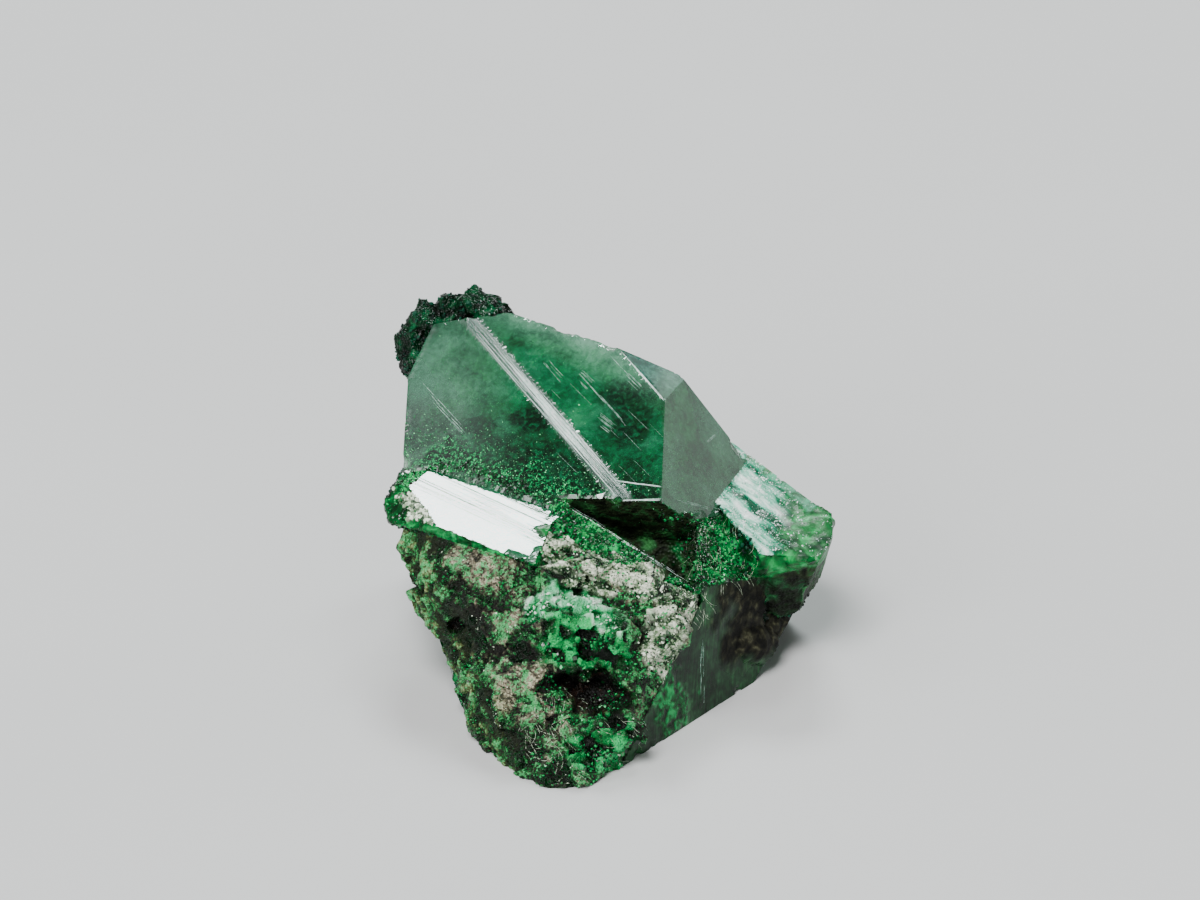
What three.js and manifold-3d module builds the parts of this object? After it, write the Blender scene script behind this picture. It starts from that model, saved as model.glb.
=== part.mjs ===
// A loose uvarovite garnet crystal with the rock that it grew on.
//
// Lengths are millimetres. The specimen is first described standing upright on its
// lowest corner, with X to the right, Y to the back and Z up, and is then leaned back
// onto the large crystal face under it, on which it rests.
import * as THREE from "three";
import { mergeVertices } from "three/addons/utils/BufferGeometryUtils.js";
import Module from "manifold-3d";

const wasm = await Module();
wasm.setup();

// ---- driving dimensions ----------------------------------------------------------
const LEAN = THREE.MathUtils.degToRad(25); // from upright onto the resting face
const GAP = 0.3; // kept between the garnet and the rock
const BLOCK = 40; // side of the block that each crystal is cut from
const ROCK_STEPS = 13; // subdivision of the rock's starting ball
const ROCK_SHARPNESS = 9; // higher leaves less rounding between the rock's broken sides
const DRUSE_GRAIN = 0.36; // half the width of one small crystal in the crust
const DRUSE_REACH = 1.3; // how far a small crystal reaches from its middle, in half widths
const LEAST_BODY = 1; // cubic mm: the garnet is far larger, and the chinks sealed in it are far smaller

// How the rock's surface is broken: how deep, how many bumps a millimetre, and the noise's shift.
const rockRoughness = [
  { depth: 0.3, perMm: 0.8, shift: 0 },
  { depth: 0.16, perMm: 1.9, shift: 17 },
  { depth: 0.07, perMm: 4.3, shift: 41 },
];

// A flat face: the way that it looks, and a point that it passes through.
const face = (out, at) => ({
  out: new THREE.Vector3(...out).normalize(),
  at: new THREE.Vector3(...at),
});

// The face that the specimen rests on: level once the specimen is leaned back.
const restingFace = face([0, Math.sin(LEAN), -Math.cos(LEAN)], [0, 0, 0]);

// The two faces at the lower right, which the main crystal and its foot share.
const lowRightFace = face([0.81, -0.57, -0.15], [-0.16, 0.13, 0.06]);
const lowRightBehindFace = face([0.82, 0.1, -0.56], [4.2, 5.4, 4]);

// The main crystal, with its broad face at the height of its left half.
const mainFaces = [
  face([-0.25, -1, 0.6], [0, 3, 5.6]), // broad front face
  face([1.25, -1, 0.54], [1.14, 4.03, 7.56]), // right face
  face([0.48, -1, 1.24], [1.14, 4.03, 7.56]), // small face at the right shoulder
  lowRightFace,
  lowRightBehindFace,
  face([0.72, 0.21, 0.66], [3.04, 5.34, 6.16]), // right shoulder, behind
  face([0.4, 0.23, 0.89], [0.18, 4.8, 8.66]), // top, right half
  face([-0.13, 0.34, 0.93], [-3.56, 6, 9.12]), // top, left half
  face([-0.9, 0.25, 0.3], [-3.56, 6, 9.12]), // left, upper
  face([-0.95, 0.2, -0.07], [-4.06, 5.49, 8.06]), // left, middle
  face([-0.92, 0.15, -0.35], [-4.16, 4.8, 5.4]), // left, lower
  face([0.1, 0.73, 0.67], [0, 9.8, 4.9]), // back
  face([-0.6, 0.75, 0.1], [-2.9, 8, 6]), // back, left
  face([0.75, 0.62, 0.1], [3.4, 6.9, 4.6]), // back, right
];

// What the growth step takes off the broad face: all that is above its lower, right half.
const stepFaces = [
  face([0.25, 1, -0.6], [0.03, 3.1, 5.54]), // the lower half of the broad face
  face([-0.15, 0.7, -0.7], [-2.92, 5.89, 9.2]), // the sloping riser between the halves
];

// The foot of the main crystal: it reaches further to the front than the broad face and
// the right face do, and ends below them in a ridge and a ledge.
const footFaces = [
  face([0.09, -0.77, 0.64], [1.84, 2, 3.72]), // slope in front of the ridge
  face([1.19, -1, 1.2], [1.44, 3.11, 5.16]), // ledge under the right face
  lowRightFace,
  lowRightBehindFace,
  face([-0.85, 0.1, 0.5], [-0.96, 3.2, 5.56]), // left end, beside the slab
  face([1, 0, 0], [3.2, 4, 4]), // hidden, inside the shoulder crystal
  face([-1, 0, 0], [-1.5, 3, 4]), // hidden, inside the slab
  face([0, 1, 0], [0, 6, 4]), // hidden, inside the main crystal
  face([0, 0, 1], [0, 3, 5.6]), // hidden, inside the main crystal
];

// The dark notch under the broad face, behind the ridge of the foot.
const notchFaces = [
  face([0.125, 0.5, 0.85], [0.34, 2.92, 5.58]), // its roof
  face([-0.6, -0.23, -0.77], [1.84, 2, 3.72]), // its floor
  face([1, -0.15, 0.1], [1.64, 2, 4.6]), // its right wall
  face([0.2, 1, 0.2], [0.4, 4.3, 4.7]), // its back wall
];

// The thin second crystal across the front left, with the bright top face.
const slabFaces = [
  face([0.02, -1, 1.43], [-3.5, 4.14, 6.1]), // bright top face
  face([-0.21, -0.42, 0.88], [-3.96, 3.69, 5.82]), // dark bevel at the upper left
  face([-0.46, -0.56, 0.44], [-3.96, 3.69, 5.82]), // dark bevel at the left end
  face([-0.64, -0.9, -0.35], [-3.36, 2.6, 5.02]), // front rim
  face([-0.85, 0, 0.52], [-4.16, 3.8, 6.06]), // left end, upper
  face([-0.99, 0, -0.1], [-4.46, 3.9, 5.5]), // left end, lower
  face([0.9, -0.4, 0.2], [-1, 3, 5]), // right end
  face([-0.28, 0, -0.96], [-4.36, 3.4, 5.1]), // underside
  face([0, 1, 0], [0, 5.2, 5]), // hidden, inside the main crystal
];

// The crystal at the right shoulder, which overhangs the lower right face.
const shoulderFaces = [
  face([0.1, -0.57, 0.81], [3, 2.9, 4.5]), // bright top
  face([0.66, 0.1, 0.75], [3.84, 4.5, 5.76]), // upper right
  face([0.98, 0.05, -0.1], [4.46, 4.5, 4.8]), // right
  face([0.87, -0.1, -0.45], [4.46, 4.5, 4.5]), // lower right
  face([0.05, -0.62, -0.78], [3.2, 2.9, 4.45]), // overhang
  face([-0.85, -0.5, -0.1], [2.65, 3.5, 4.8]), // left
  face([0.55, 0.83, 0.05], [3.7, 6.3, 5]), // back
  face([0.45, 0.3, -0.84], [3.9, 5.3, 3.7]), // underside, behind the overhang
  face([-0.3, 0.95, 0.1], [3.2, 6.6, 5]), // hidden, inside the main crystal
];

// The crust of small crystals behind the top left corner, in lobes.
const druseLobes = [
  { centre: new THREE.Vector3(-2.95, 6.7, 8.5), reach: new THREE.Vector3(0.95, 0.7, 0.95), count: 44 },
  { centre: new THREE.Vector3(-2.9, 7.5, 7.2), reach: new THREE.Vector3(0.75, 0.55, 0.9), count: 36 },
  { centre: new THREE.Vector3(-3.1, 7.3, 6), reach: new THREE.Vector3(0.5, 0.45, 0.8), count: 26 },
  { centre: new THREE.Vector3(-1.7, 7.5, 8), reach: new THREE.Vector3(0.7, 0.4, 0.45), count: 24 },
];

// The hollow of the garnet that the rock fills, in two parts with roofs of two heights.
const pocketSides = [
  face([0.25, 1, -0.2], [0, 2.6, 3]), // back wall
  face([1, 0, -0.5], [1.75, 1.9, 3.4]), // right wall
];
const pocketUnderSlab = [
  face([0.28, 0, 0.96], [-4.36, 3.4, 5.1]), // roof
  ...pocketSides,
];
const pocketUnderRidge = [
  face([0.37, 0, 0.93], [1.64, 1.98, 3.72]), // roof
  face([-1, 0, 0], [-1.1, 2, 4]), // left wall
  ...pocketSides,
];

// The rock's own broken sides, before they are roughened.
const rockFaces = [
  face([-0.02, -0.9, 0.45], [-0.8, -0.1, 0.1]), // front
  face([-0.88, -0.2, -0.33], [-4.3, 3.2, 4.9]), // left
  face([-0.74, -0.66, 0.05], [-2.9, 1.7, 3]), // front left
  face([0.81, -0.57, -0.15], [0.08, -0.04, 0.02]), // front right
  face([0.15, -0.7, 0.7], [0, 1.8, 4.4]), // top
  face([0, 1, 0], [0, 6, 3]), // hidden, behind the pocket's back wall
  face([0.9, 0.3, 0], [3, 3, 3]), // hidden, beyond the pocket's right wall
  face([0, 0.2, -1], [0, 0, -0.8]), // below the resting face
  face([0, 0, 1], [0, 3, 6.5]), // hidden, above the pocket's roof
];
const ROCK_CENTRE = new THREE.Vector3(-1.2, 2.2, 2.9);

// ---- solids ----------------------------------------------------------------------
function solidFrom(geometry) {
  const bare = geometry.clone();
  bare.deleteAttribute("normal");
  bare.deleteAttribute("uv");
  const merged = mergeVertices(bare, 1e-4);
  return new wasm.Manifold(
    new wasm.Mesh({
      numProp: 3,
      vertProperties: merged.attributes.position.array,
      triVerts: new Uint32Array(merged.index.array),
    }),
  );
}

function geometryFrom(solid) {
  const { vertProperties, triVerts } = solid.getMesh();
  const geometry = new THREE.BufferGeometry()
    .setAttribute("position", new THREE.BufferAttribute(vertProperties, 3))
    .setIndex(new THREE.BufferAttribute(triVerts, 1))
    .toNonIndexed();
  geometry.computeVertexNormals();
  return geometry;
}

// Keeps what lies behind every face, moved outwards by grow.
function cutByFaces(solid, faces, grow = 0) {
  return faces.reduce(
    (rest, { out, at }) => rest.trimByPlane(out.clone().negate().toArray(), -out.dot(at) - grow),
    solid,
  );
}

function crystal(faces, grow = 0) {
  return cutByFaces(solidFrom(new THREE.BoxGeometry(BLOCK, BLOCK, BLOCK)), faces, grow);
}

// The garnet habit: a rhombic dodecahedron, whose faces look along the edges' middles
// of a cube.
function garnetGrain(halfWidth, centre, turn) {
  const faces = [];
  for (const [i, j] of [[0, 1], [1, 2], [0, 2]]) {
    for (const a of [-1, 1]) {
      for (const b of [-1, 1]) {
        const out = new THREE.Vector3().setComponent(i, a).setComponent(j, b).normalize();
        out.applyEuler(turn);
        faces.push({ out, at: centre.clone().addScaledVector(out, halfWidth) });
      }
    }
  }
  return crystal(faces);
}

// ---- roughness -------------------------------------------------------------------
function cellValue(x, y, z) {
  const mixed = Math.sin(x * 127.1 + y * 311.7 + z * 74.7) * 43758.5453;
  return mixed - Math.floor(mixed);
}

// Smooth noise from -1 to 1 that changes over one unit.
function noise(p) {
  const cell = p.clone().floor();
  const part = p.clone().sub(cell);
  const ease = (t) => t * t * (3 - 2 * t);
  let sum = 0;
  for (const dx of [0, 1]) {
    for (const dy of [0, 1]) {
      for (const dz of [0, 1]) {
        const weight =
          (dx ? ease(part.x) : 1 - ease(part.x)) *
          (dy ? ease(part.y) : 1 - ease(part.y)) *
          (dz ? ease(part.z) : 1 - ease(part.z));
        sum += weight * cellValue(cell.x + dx, cell.y + dy, cell.z + dz);
      }
    }
  }
  return 2 * sum - 1;
}

function roughness(p) {
  let height = 0;
  for (const { depth, perMm, shift } of rockRoughness) {
    height += depth * noise(p.clone().multiplyScalar(perMm).addScalar(shift));
  }
  return height;
}

// A ball drawn in to the given faces, with its corners rounded and its surface broken.
function roughStone(centre, faces) {
  const geometry = new THREE.IcosahedronGeometry(1, ROCK_STEPS);
  const positions = geometry.attributes.position;
  for (let i = 0; i < positions.count; i++) {
    const way = new THREE.Vector3().fromBufferAttribute(positions, i).normalize();
    let sum = 0;
    for (const { out, at } of faces) {
      const distance = out.dot(at) - out.dot(centre);
      sum += Math.max(0, out.dot(way) / distance) ** ROCK_SHARPNESS;
    }
    const reach = sum ** (-1 / ROCK_SHARPNESS);
    const point = centre.clone().addScaledVector(way, reach);
    point.addScaledVector(way, roughness(point));
    positions.setXYZ(i, point.x, point.y, point.z);
  }
  return solidFrom(geometry);
}

// ---- the garnet ------------------------------------------------------------------
// A lobe of the crust of small crystals. What would show in front of the broad face is
// left out.
function druseLobe({ centre, reach, count }) {
  const core = new THREE.IcosahedronGeometry(1, 1).scale(...reach).translate(...centre);
  const grains = [solidFrom(core)];
  const [broad] = mainFaces;
  const golden = Math.PI * (3 - Math.sqrt(5));
  for (let i = 0; i < count; i++) {
    const height = 1 - (2 * (i + 0.5)) / count;
    const round = Math.sqrt(1 - height * height);
    const way = new THREE.Vector3(round * Math.cos(i * golden), round * Math.sin(i * golden), height);
    const place = way.multiply(reach).add(centre);
    const halfWidth = DRUSE_GRAIN * (0.7 + 0.6 * cellValue(i, count, 7));
    const depth = broad.out.dot(broad.at) - broad.out.dot(place);
    if (depth < DRUSE_REACH * halfWidth) continue;
    grains.push(garnetGrain(halfWidth, place, new THREE.Euler(1.7 * i, 0.9 * i, 2.3 * i)));
  }
  return wasm.Manifold.union(grains);
}

function pocket(grow = 0) {
  return crystal(pocketUnderSlab, grow).add(crystal(pocketUnderRidge, grow));
}

function garnet() {
  const main = crystal(mainFaces).subtract(crystal(stepFaces));
  const footed = main.add(crystal(footFaces)).subtract(crystal(notchFaces));
  const grown = wasm.Manifold.union([
    footed,
    crystal(slabFaces),
    crystal(shoulderFaces),
    ...druseLobes.map(druseLobe),
  ]);
  const whole = cutByFaces(grown.subtract(pocket()), [restingFace]);
  // Sealed chinks between the small crystals are bodies of their own, and are left out.
  return whole.decompose().find((body) => body.volume() > LEAST_BODY);
}

// ---- the rock --------------------------------------------------------------------
function rock() {
  const stone = roughStone(ROCK_CENTRE, rockFaces).intersect(pocket(-GAP));
  return cutByFaces(stone, [restingFace]);
}

// ---- materials and assembly ------------------------------------------------------
const garnetGreen = new THREE.MeshStandardMaterial({
  color: 0x0c5a2c,
  roughness: 0.12,
  metalness: 0,
});
const rockBrown = new THREE.MeshStandardMaterial({
  color: 0x6b5f45,
  roughness: 0.9,
  metalness: 0,
});

function piece(name, solid, material) {
  const mesh = new THREE.Mesh(geometryFrom(solid), material);
  mesh.name = name;
  return mesh;
}

const leaned = new THREE.Group();
leaned.rotation.x = -LEAN;
leaned.add(piece("garnet_crystal", garnet(), garnetGreen));
leaned.add(piece("matrix", rock(), rockBrown));

// The origin is under the middle of the specimen, on the surface that it rests on.
const specimen = new THREE.Group();
specimen.add(leaned);
const box = new THREE.Box3().setFromObject(specimen, true);
const middle = box.getCenter(new THREE.Vector3());
specimen.position.set(-middle.x, -middle.y, -box.min.z);

export default specimen;
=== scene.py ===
"""Looks of a loose uvarovite garnet crystal with its rock matrix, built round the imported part.

The specimen's own lengths are millimetres, in the coordinates of the crystal standing upright
on its lowest corner: X to the right, Y to the back and Z up. in_frame() leans them back onto
the resting face and moves them to the frame's place, and make_mesh() turns them into metres.
"""

import itertools
import math

import bmesh
import bpy
import numpy as np
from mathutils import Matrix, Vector
from mathutils.bvhtree import BVHTree
from mathutils.kdtree import KDTree

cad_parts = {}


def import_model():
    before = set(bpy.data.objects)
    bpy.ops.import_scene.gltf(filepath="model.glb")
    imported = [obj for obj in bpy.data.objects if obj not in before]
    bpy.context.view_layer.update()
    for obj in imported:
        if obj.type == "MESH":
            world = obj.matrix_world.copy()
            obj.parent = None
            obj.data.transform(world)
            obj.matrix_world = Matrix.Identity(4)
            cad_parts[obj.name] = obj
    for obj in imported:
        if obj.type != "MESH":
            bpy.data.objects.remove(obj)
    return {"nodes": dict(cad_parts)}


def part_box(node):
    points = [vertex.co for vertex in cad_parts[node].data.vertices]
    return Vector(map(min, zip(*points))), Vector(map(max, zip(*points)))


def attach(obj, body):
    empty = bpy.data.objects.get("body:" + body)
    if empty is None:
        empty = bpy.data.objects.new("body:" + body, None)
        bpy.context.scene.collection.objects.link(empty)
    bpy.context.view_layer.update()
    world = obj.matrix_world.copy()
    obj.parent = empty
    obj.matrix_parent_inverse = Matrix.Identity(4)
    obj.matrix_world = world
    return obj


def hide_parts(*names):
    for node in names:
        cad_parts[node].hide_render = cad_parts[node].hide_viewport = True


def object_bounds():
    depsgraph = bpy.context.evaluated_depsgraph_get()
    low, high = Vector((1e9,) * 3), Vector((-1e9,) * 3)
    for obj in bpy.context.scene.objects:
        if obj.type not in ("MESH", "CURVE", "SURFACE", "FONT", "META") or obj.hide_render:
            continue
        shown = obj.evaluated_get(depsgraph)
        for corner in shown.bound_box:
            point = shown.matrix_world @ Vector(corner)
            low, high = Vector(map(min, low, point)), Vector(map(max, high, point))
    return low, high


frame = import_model()
cad_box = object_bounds()

# ---- driving sizes ---------------------------------------------------------------------
MM = 0.001  # one millimetre in the frame's metres
LEAN = math.radians(25)  # from standing upright back onto the resting face
LEFT_REACH, FRONT_REACH = 4.4662, -0.619  # from the garnet's box to the lowest corner
BODY_CELL = 0.06  # the mesh step on the garnet, in mm
ROCK_CELL = 0.038  # the mesh step on the rock, in mm

garnet_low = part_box("garnet_crystal")[0] / MM
CORNER = np.array((garnet_low.x + LEFT_REACH, garnet_low.y + FRONT_REACH, 0.0))
COS, SIN = math.cos(LEAN), math.sin(LEAN)
TO_FRAME = np.array(((1, 0, 0), (0, COS, SIN), (0, -SIN, COS)))


def in_frame(points):
    """Standing coordinates, in mm, to the frame's coordinates, still in mm."""
    return np.asarray(points, float) @ TO_FRAME.T + CORNER


def standing(points):
    """The frame's coordinates, in mm, to standing coordinates."""
    return (np.asarray(points, float) - CORNER) @ TO_FRAME


def unit(vectors):
    vectors = np.asarray(vectors, float)
    return vectors / np.maximum(np.linalg.norm(vectors, axis=-1, keepdims=True), 1e-12)


# ---- noise -----------------------------------------------------------------------------
def cell_keys(cells, seed):
    """A fixed whole number for each cell of space."""
    x, y, z = cells.T
    return (x * 73856093) ^ (y * 19349663) ^ (z * 83492791) ^ (seed * 2971215)


def scrambled(keys):
    return (keys ^ (keys >> 13)) * 1274126177 & 0xFFFFFFFF


def shares(keys):
    """Numbers from 0 to 1 from scrambled keys."""
    return ((keys ^ (keys >> 15)) & 0xFFFF) / 0xFFFF


def noise(points, size, seed):
    """Smooth random values between -1 and 1 that change over lengths of size."""
    place = points / size + 0.37 * seed
    cell = np.floor(place).astype(np.int64)
    part = place - cell
    part = part * part * (3 - 2 * part)
    total = np.zeros(len(points))
    for corner in itertools.product((0, 1), repeat=3):
        value = 2 * shares(scrambled(cell_keys(cell + corner, seed))) - 1
        total += value * np.prod(np.where(corner, part, 1 - part), axis=1)
    return total


def fractal(points, size, octaves, seed):
    """Noise with finer and weaker noise on top of it."""
    return sum(noise(points, size / 2**i, seed + i) / 2**i for i in range(octaves))


def broken(points, size, seed):
    """Blocks of about that size, each tilted and set in or out at random, from about -1 to 1."""
    place = points / size
    cell = np.floor(place).astype(np.int64)
    nearest = np.full(len(points), np.inf)
    height = np.zeros(len(points))
    for corner in itertools.product((-1, 0, 1), repeat=3):
        near_cell = cell + corner
        keys, draws = cell_keys(near_cell, seed), []
        for _ in range(7):
            keys = scrambled(keys)
            draws.append(shares(keys))
        away = place - near_cell - np.stack(draws[:3], 1)
        distance = (away * away).sum(1)
        closer = distance < nearest
        tilt = (away * (2 * np.stack(draws[3:6], 1) - 1)).sum(1)
        height = np.where(closer, 0.7 * (2 * draws[6] - 1) + tilt, height)
        nearest = np.minimum(nearest, distance)
    return height


def smooth_step(values, low, high):
    t = np.clip((values - low) / (high - low), 0, 1)
    return t * t * (3 - 2 * t)


# ---- meshes ----------------------------------------------------------------------------
def make_mesh(name, points, faces, values=None, smooth=False):
    """A mesh object from points in the frame's mm and faces that all have as many corners."""
    mesh = bpy.data.meshes.new(name)
    faces = np.asarray(faces, np.int32)
    starts = np.arange(0, faces.size, faces.shape[1], dtype=np.int32)
    mesh.vertices.add(len(points))
    mesh.vertices.foreach_set("co", (np.asarray(points) * MM).astype(np.float32).ravel())
    mesh.loops.add(faces.size)
    mesh.loops.foreach_set("vertex_index", faces.ravel())
    mesh.polygons.add(len(faces))
    mesh.polygons.foreach_set("loop_start", starts)
    mesh.polygons.foreach_set("use_smooth", np.full(len(faces), smooth))
    for key, value in (values or {}).items():
        carried = mesh.attributes.new(key, "FLOAT", "POINT")
        carried.data.foreach_set("value", value.astype(np.float32))
    mesh.update(calc_edges=True)
    mesh.validate()
    made = bpy.data.objects.new(name, mesh)
    bpy.context.scene.collection.objects.link(made)
    return made


def finish_piece(made, material):
    made.data.materials.append(material)
    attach(made, "root")


def points_of(mesh):
    co = np.empty(len(mesh.vertices) * 3, np.float32)
    mesh.vertices.foreach_get("co", co)
    return co.reshape(-1, 3).astype(float)


def triangles_of(mesh):
    mesh.calc_loop_triangles()
    corners = np.empty(len(mesh.loop_triangles) * 3, np.int32)
    mesh.loop_triangles.foreach_get("vertices", corners)
    return corners.reshape(-1, 3)


def ways_out(points, triangles):
    """The way out of each triangle, as long as twice its area."""
    a, b, c = (points[triangles[:, i]] for i in range(3))
    return np.cross(b - a, c - a)


class Surface:
    """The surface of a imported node, in the frame's mm, to be measured against."""

    def __init__(self, node):
        mesh = bmesh.new()
        mesh.from_mesh(frame["nodes"][node].data)
        bmesh.ops.scale(mesh, vec=(1 / MM,) * 3, verts=mesh.verts)
        bmesh.ops.remove_doubles(mesh, verts=mesh.verts, dist=1e-4)
        self.mesh = bpy.data.meshes.new(node + "_measured")
        mesh.to_mesh(self.mesh)
        self.edges = [
            [tuple(v.co) for v in e.verts] + [tuple(f.normal) for f in e.link_faces]
            for e in mesh.edges
            if len(e.link_faces) == 2 and e.calc_face_angle() > math.radians(12)
        ]
        self.normals = np.array([f.normal for f in mesh.faces])
        self.tree = BVHTree.FromBMesh(mesh)
        mesh.free()

    def nearest(self, points):
        """For each point: the nearest place on the surface, the face's number and the distance."""
        found = [self.tree.find_nearest(p) for p in points]
        return [np.array([f[i] for f in found]) for i in (0, 2, 3)]

    def even(self, cell):
        """The surface remade in even cells, as points and triangles."""
        held = bpy.data.objects.new("even", self.mesh)
        bpy.context.scene.collection.objects.link(held)
        remade = held.modifiers.new("even", "REMESH")
        remade.mode = "VOXEL"
        remade.voxel_size = cell
        shown = held.evaluated_get(bpy.context.evaluated_depsgraph_get())
        mesh = bpy.data.meshes.new_from_object(shown)
        points, triangles = points_of(mesh), triangles_of(mesh)
        bpy.data.objects.remove(held)
        bpy.data.meshes.remove(mesh)
        return points, triangles


# ---- the crystal's faces ---------------------------------------------------------------
# The way that each named face looks, in standing coordinates.
FACES = {
    "broad": (-0.25, -1, 0.6),
    "right": (1.25, -1, 0.54),
    "small": (0.48, -1, 1.24),
    "low_right": (0.81, -0.57, -0.15),
    "riser": (0.15, -0.7, 0.7),
    "slope": (0.09, -0.77, 0.64),
    "ledge": (1.19, -1, 1.2),
    "mirror": (0.02, -1, 1.43),
    "bevel_a": (-0.21, -0.42, 0.88),
    "bevel_b": (-0.46, -0.56, 0.44),
    "rim": (-0.64, -0.9, -0.35),
    "slab_end": (0.9, -0.4, 0.2),
    "wave_a": (0.1, -0.57, 0.81),
    "wave_b": (0.66, 0.1, 0.75),
    "wave_c": (0.98, 0.05, -0.1),
    "wave_d": (0.87, -0.1, -0.45),
    "overhang": (0.05, -0.62, -0.78),
    "notch_roof": (-0.125, -0.5, -0.85),
    "notch_floor": (0.6, 0.23, 0.77),
    "notch_right": (-1, 0.15, -0.1),
    "notch_back": (-0.2, -1, -0.2),
    "top_right": (0.4, 0.23, 0.89),
    "top_left": (-0.13, 0.34, 0.93),
    "left_high": (-0.9, 0.25, 0.3),
    "left_middle": (-0.95, 0.2, -0.07),
    "left_low": (-0.92, 0.15, -0.35),
    "shoulder_behind": (0.72, 0.21, 0.66),
    "low_right_behind": (0.82, 0.1, -0.56),
    "back": (0.1, 0.73, 0.67),
    "back_left": (-0.6, 0.75, 0.1),
    "back_right": (0.75, 0.62, 0.1),
    "resting": (0, SIN, -COS),
}
NAMES = list(FACES)
WAYS = unit(list(FACES.values()))
BEVELS = ("bevel_a", "bevel_b")
NOTCH = ("notch_roof", "notch_floor", "notch_right", "notch_back")
SHOULDER = ("wave_a", "wave_b", "wave_c", "wave_d")
HIDDEN = tuple(NAMES[NAMES.index("top_right") : NAMES.index("resting")])  # not in the photo
SEEN_INTO = ("broad", "right", "low_right", "small")  # with inclusions behind them
GLASSY = ("broad", "right", "small", "riser", "mirror", "resting")
SAME_WAY = 0.9995  # the least cosine between two ways that count as the same


def face_numbers(surface):
    """The number in NAMES of the face that each triangle lies on, or -1."""
    match = (surface.normals @ TO_FRAME) @ WAYS.T
    return np.where(match.max(1) > SAME_WAY, match.argmax(1), -1)


def on(numbers, *names):
    """Which of the numbers are those of the named faces."""
    return np.isin(numbers, [NAMES.index(n) for n in names])


def mirror_way(name):
    """The way, in the frame, that the camera sees reflected in a face."""
    out = unit(np.array(FACES[name])) @ TO_FRAME.T
    gaze = np.array((0, COS, -SIN))
    return gaze - 2 * (gaze @ out) * out


# ---- node trees ------------------------------------------------------------------------
def opaque(colour):
    """A grey, or red, green and blue, with full opacity."""
    return (*((colour,) * 3 if isinstance(colour, (int, float)) else colour), 1)


class Nodes:
    """A node tree being built. Its values are numbers, colours and the outputs of nodes."""

    def __init__(self, tree):
        self.tree = tree
        tree.nodes.clear()

    def add(self, kind, inputs=None, **settings):
        """Adds a node. inputs maps a socket's name or number to its value."""
        made = self.tree.nodes.new("ShaderNode" + kind)
        for key, value in settings.items():
            setattr(made, key, value)
        for key, value in (inputs or {}).items():
            if isinstance(value, bpy.types.NodeSocket):
                self.tree.links.new(value, made.inputs[key])
            else:
                made.inputs[key].default_value = value
        return made

    def maths(self, operation, *values):
        return self.add("Math", dict(enumerate(values)), operation=operation).outputs[0]

    def times(self, a, b):
        return self.maths("MULTIPLY", a, b)

    def weighed(self, *terms):
        """The sum of (value, weight) pairs."""
        total = 0.0
        for value, weight in terms:
            total = self.maths("MULTIPLY_ADD", value, weight, total)
        return total

    def vector(self, operation, a, b):
        """b is a number for SCALE, and otherwise a vector or an output."""
        inputs = {0: a, "Scale" if operation == "SCALE" else 1: b}
        made = self.add("VectorMath", inputs, operation=operation)
        return made.outputs["Value" if operation == "DOT_PRODUCT" else "Vector"]

    def ramp(self, value, *stops):
        """A colour ramp. Each stop is its place, then a grey or red, green and blue."""
        made = self.add("ValToRGB", {"Fac": value})
        elements = made.color_ramp.elements
        while len(elements) < len(stops):
            elements.new(0.5)
        for element, (at, *colour) in zip(elements, stops):
            element.position = at
            element.color = opaque(colour if len(colour) == 3 else colour[0])
        return made.outputs["Color"]

    def mix(self, share, a, b):
        """Goes from a to b as share goes from 0 to 1."""
        a, b = (c if isinstance(c, bpy.types.NodeSocket) else opaque(c) for c in (a, b))
        return self.add("Mix", {0: share, 6: a, 7: b}, data_type="RGBA").outputs[2]


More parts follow.
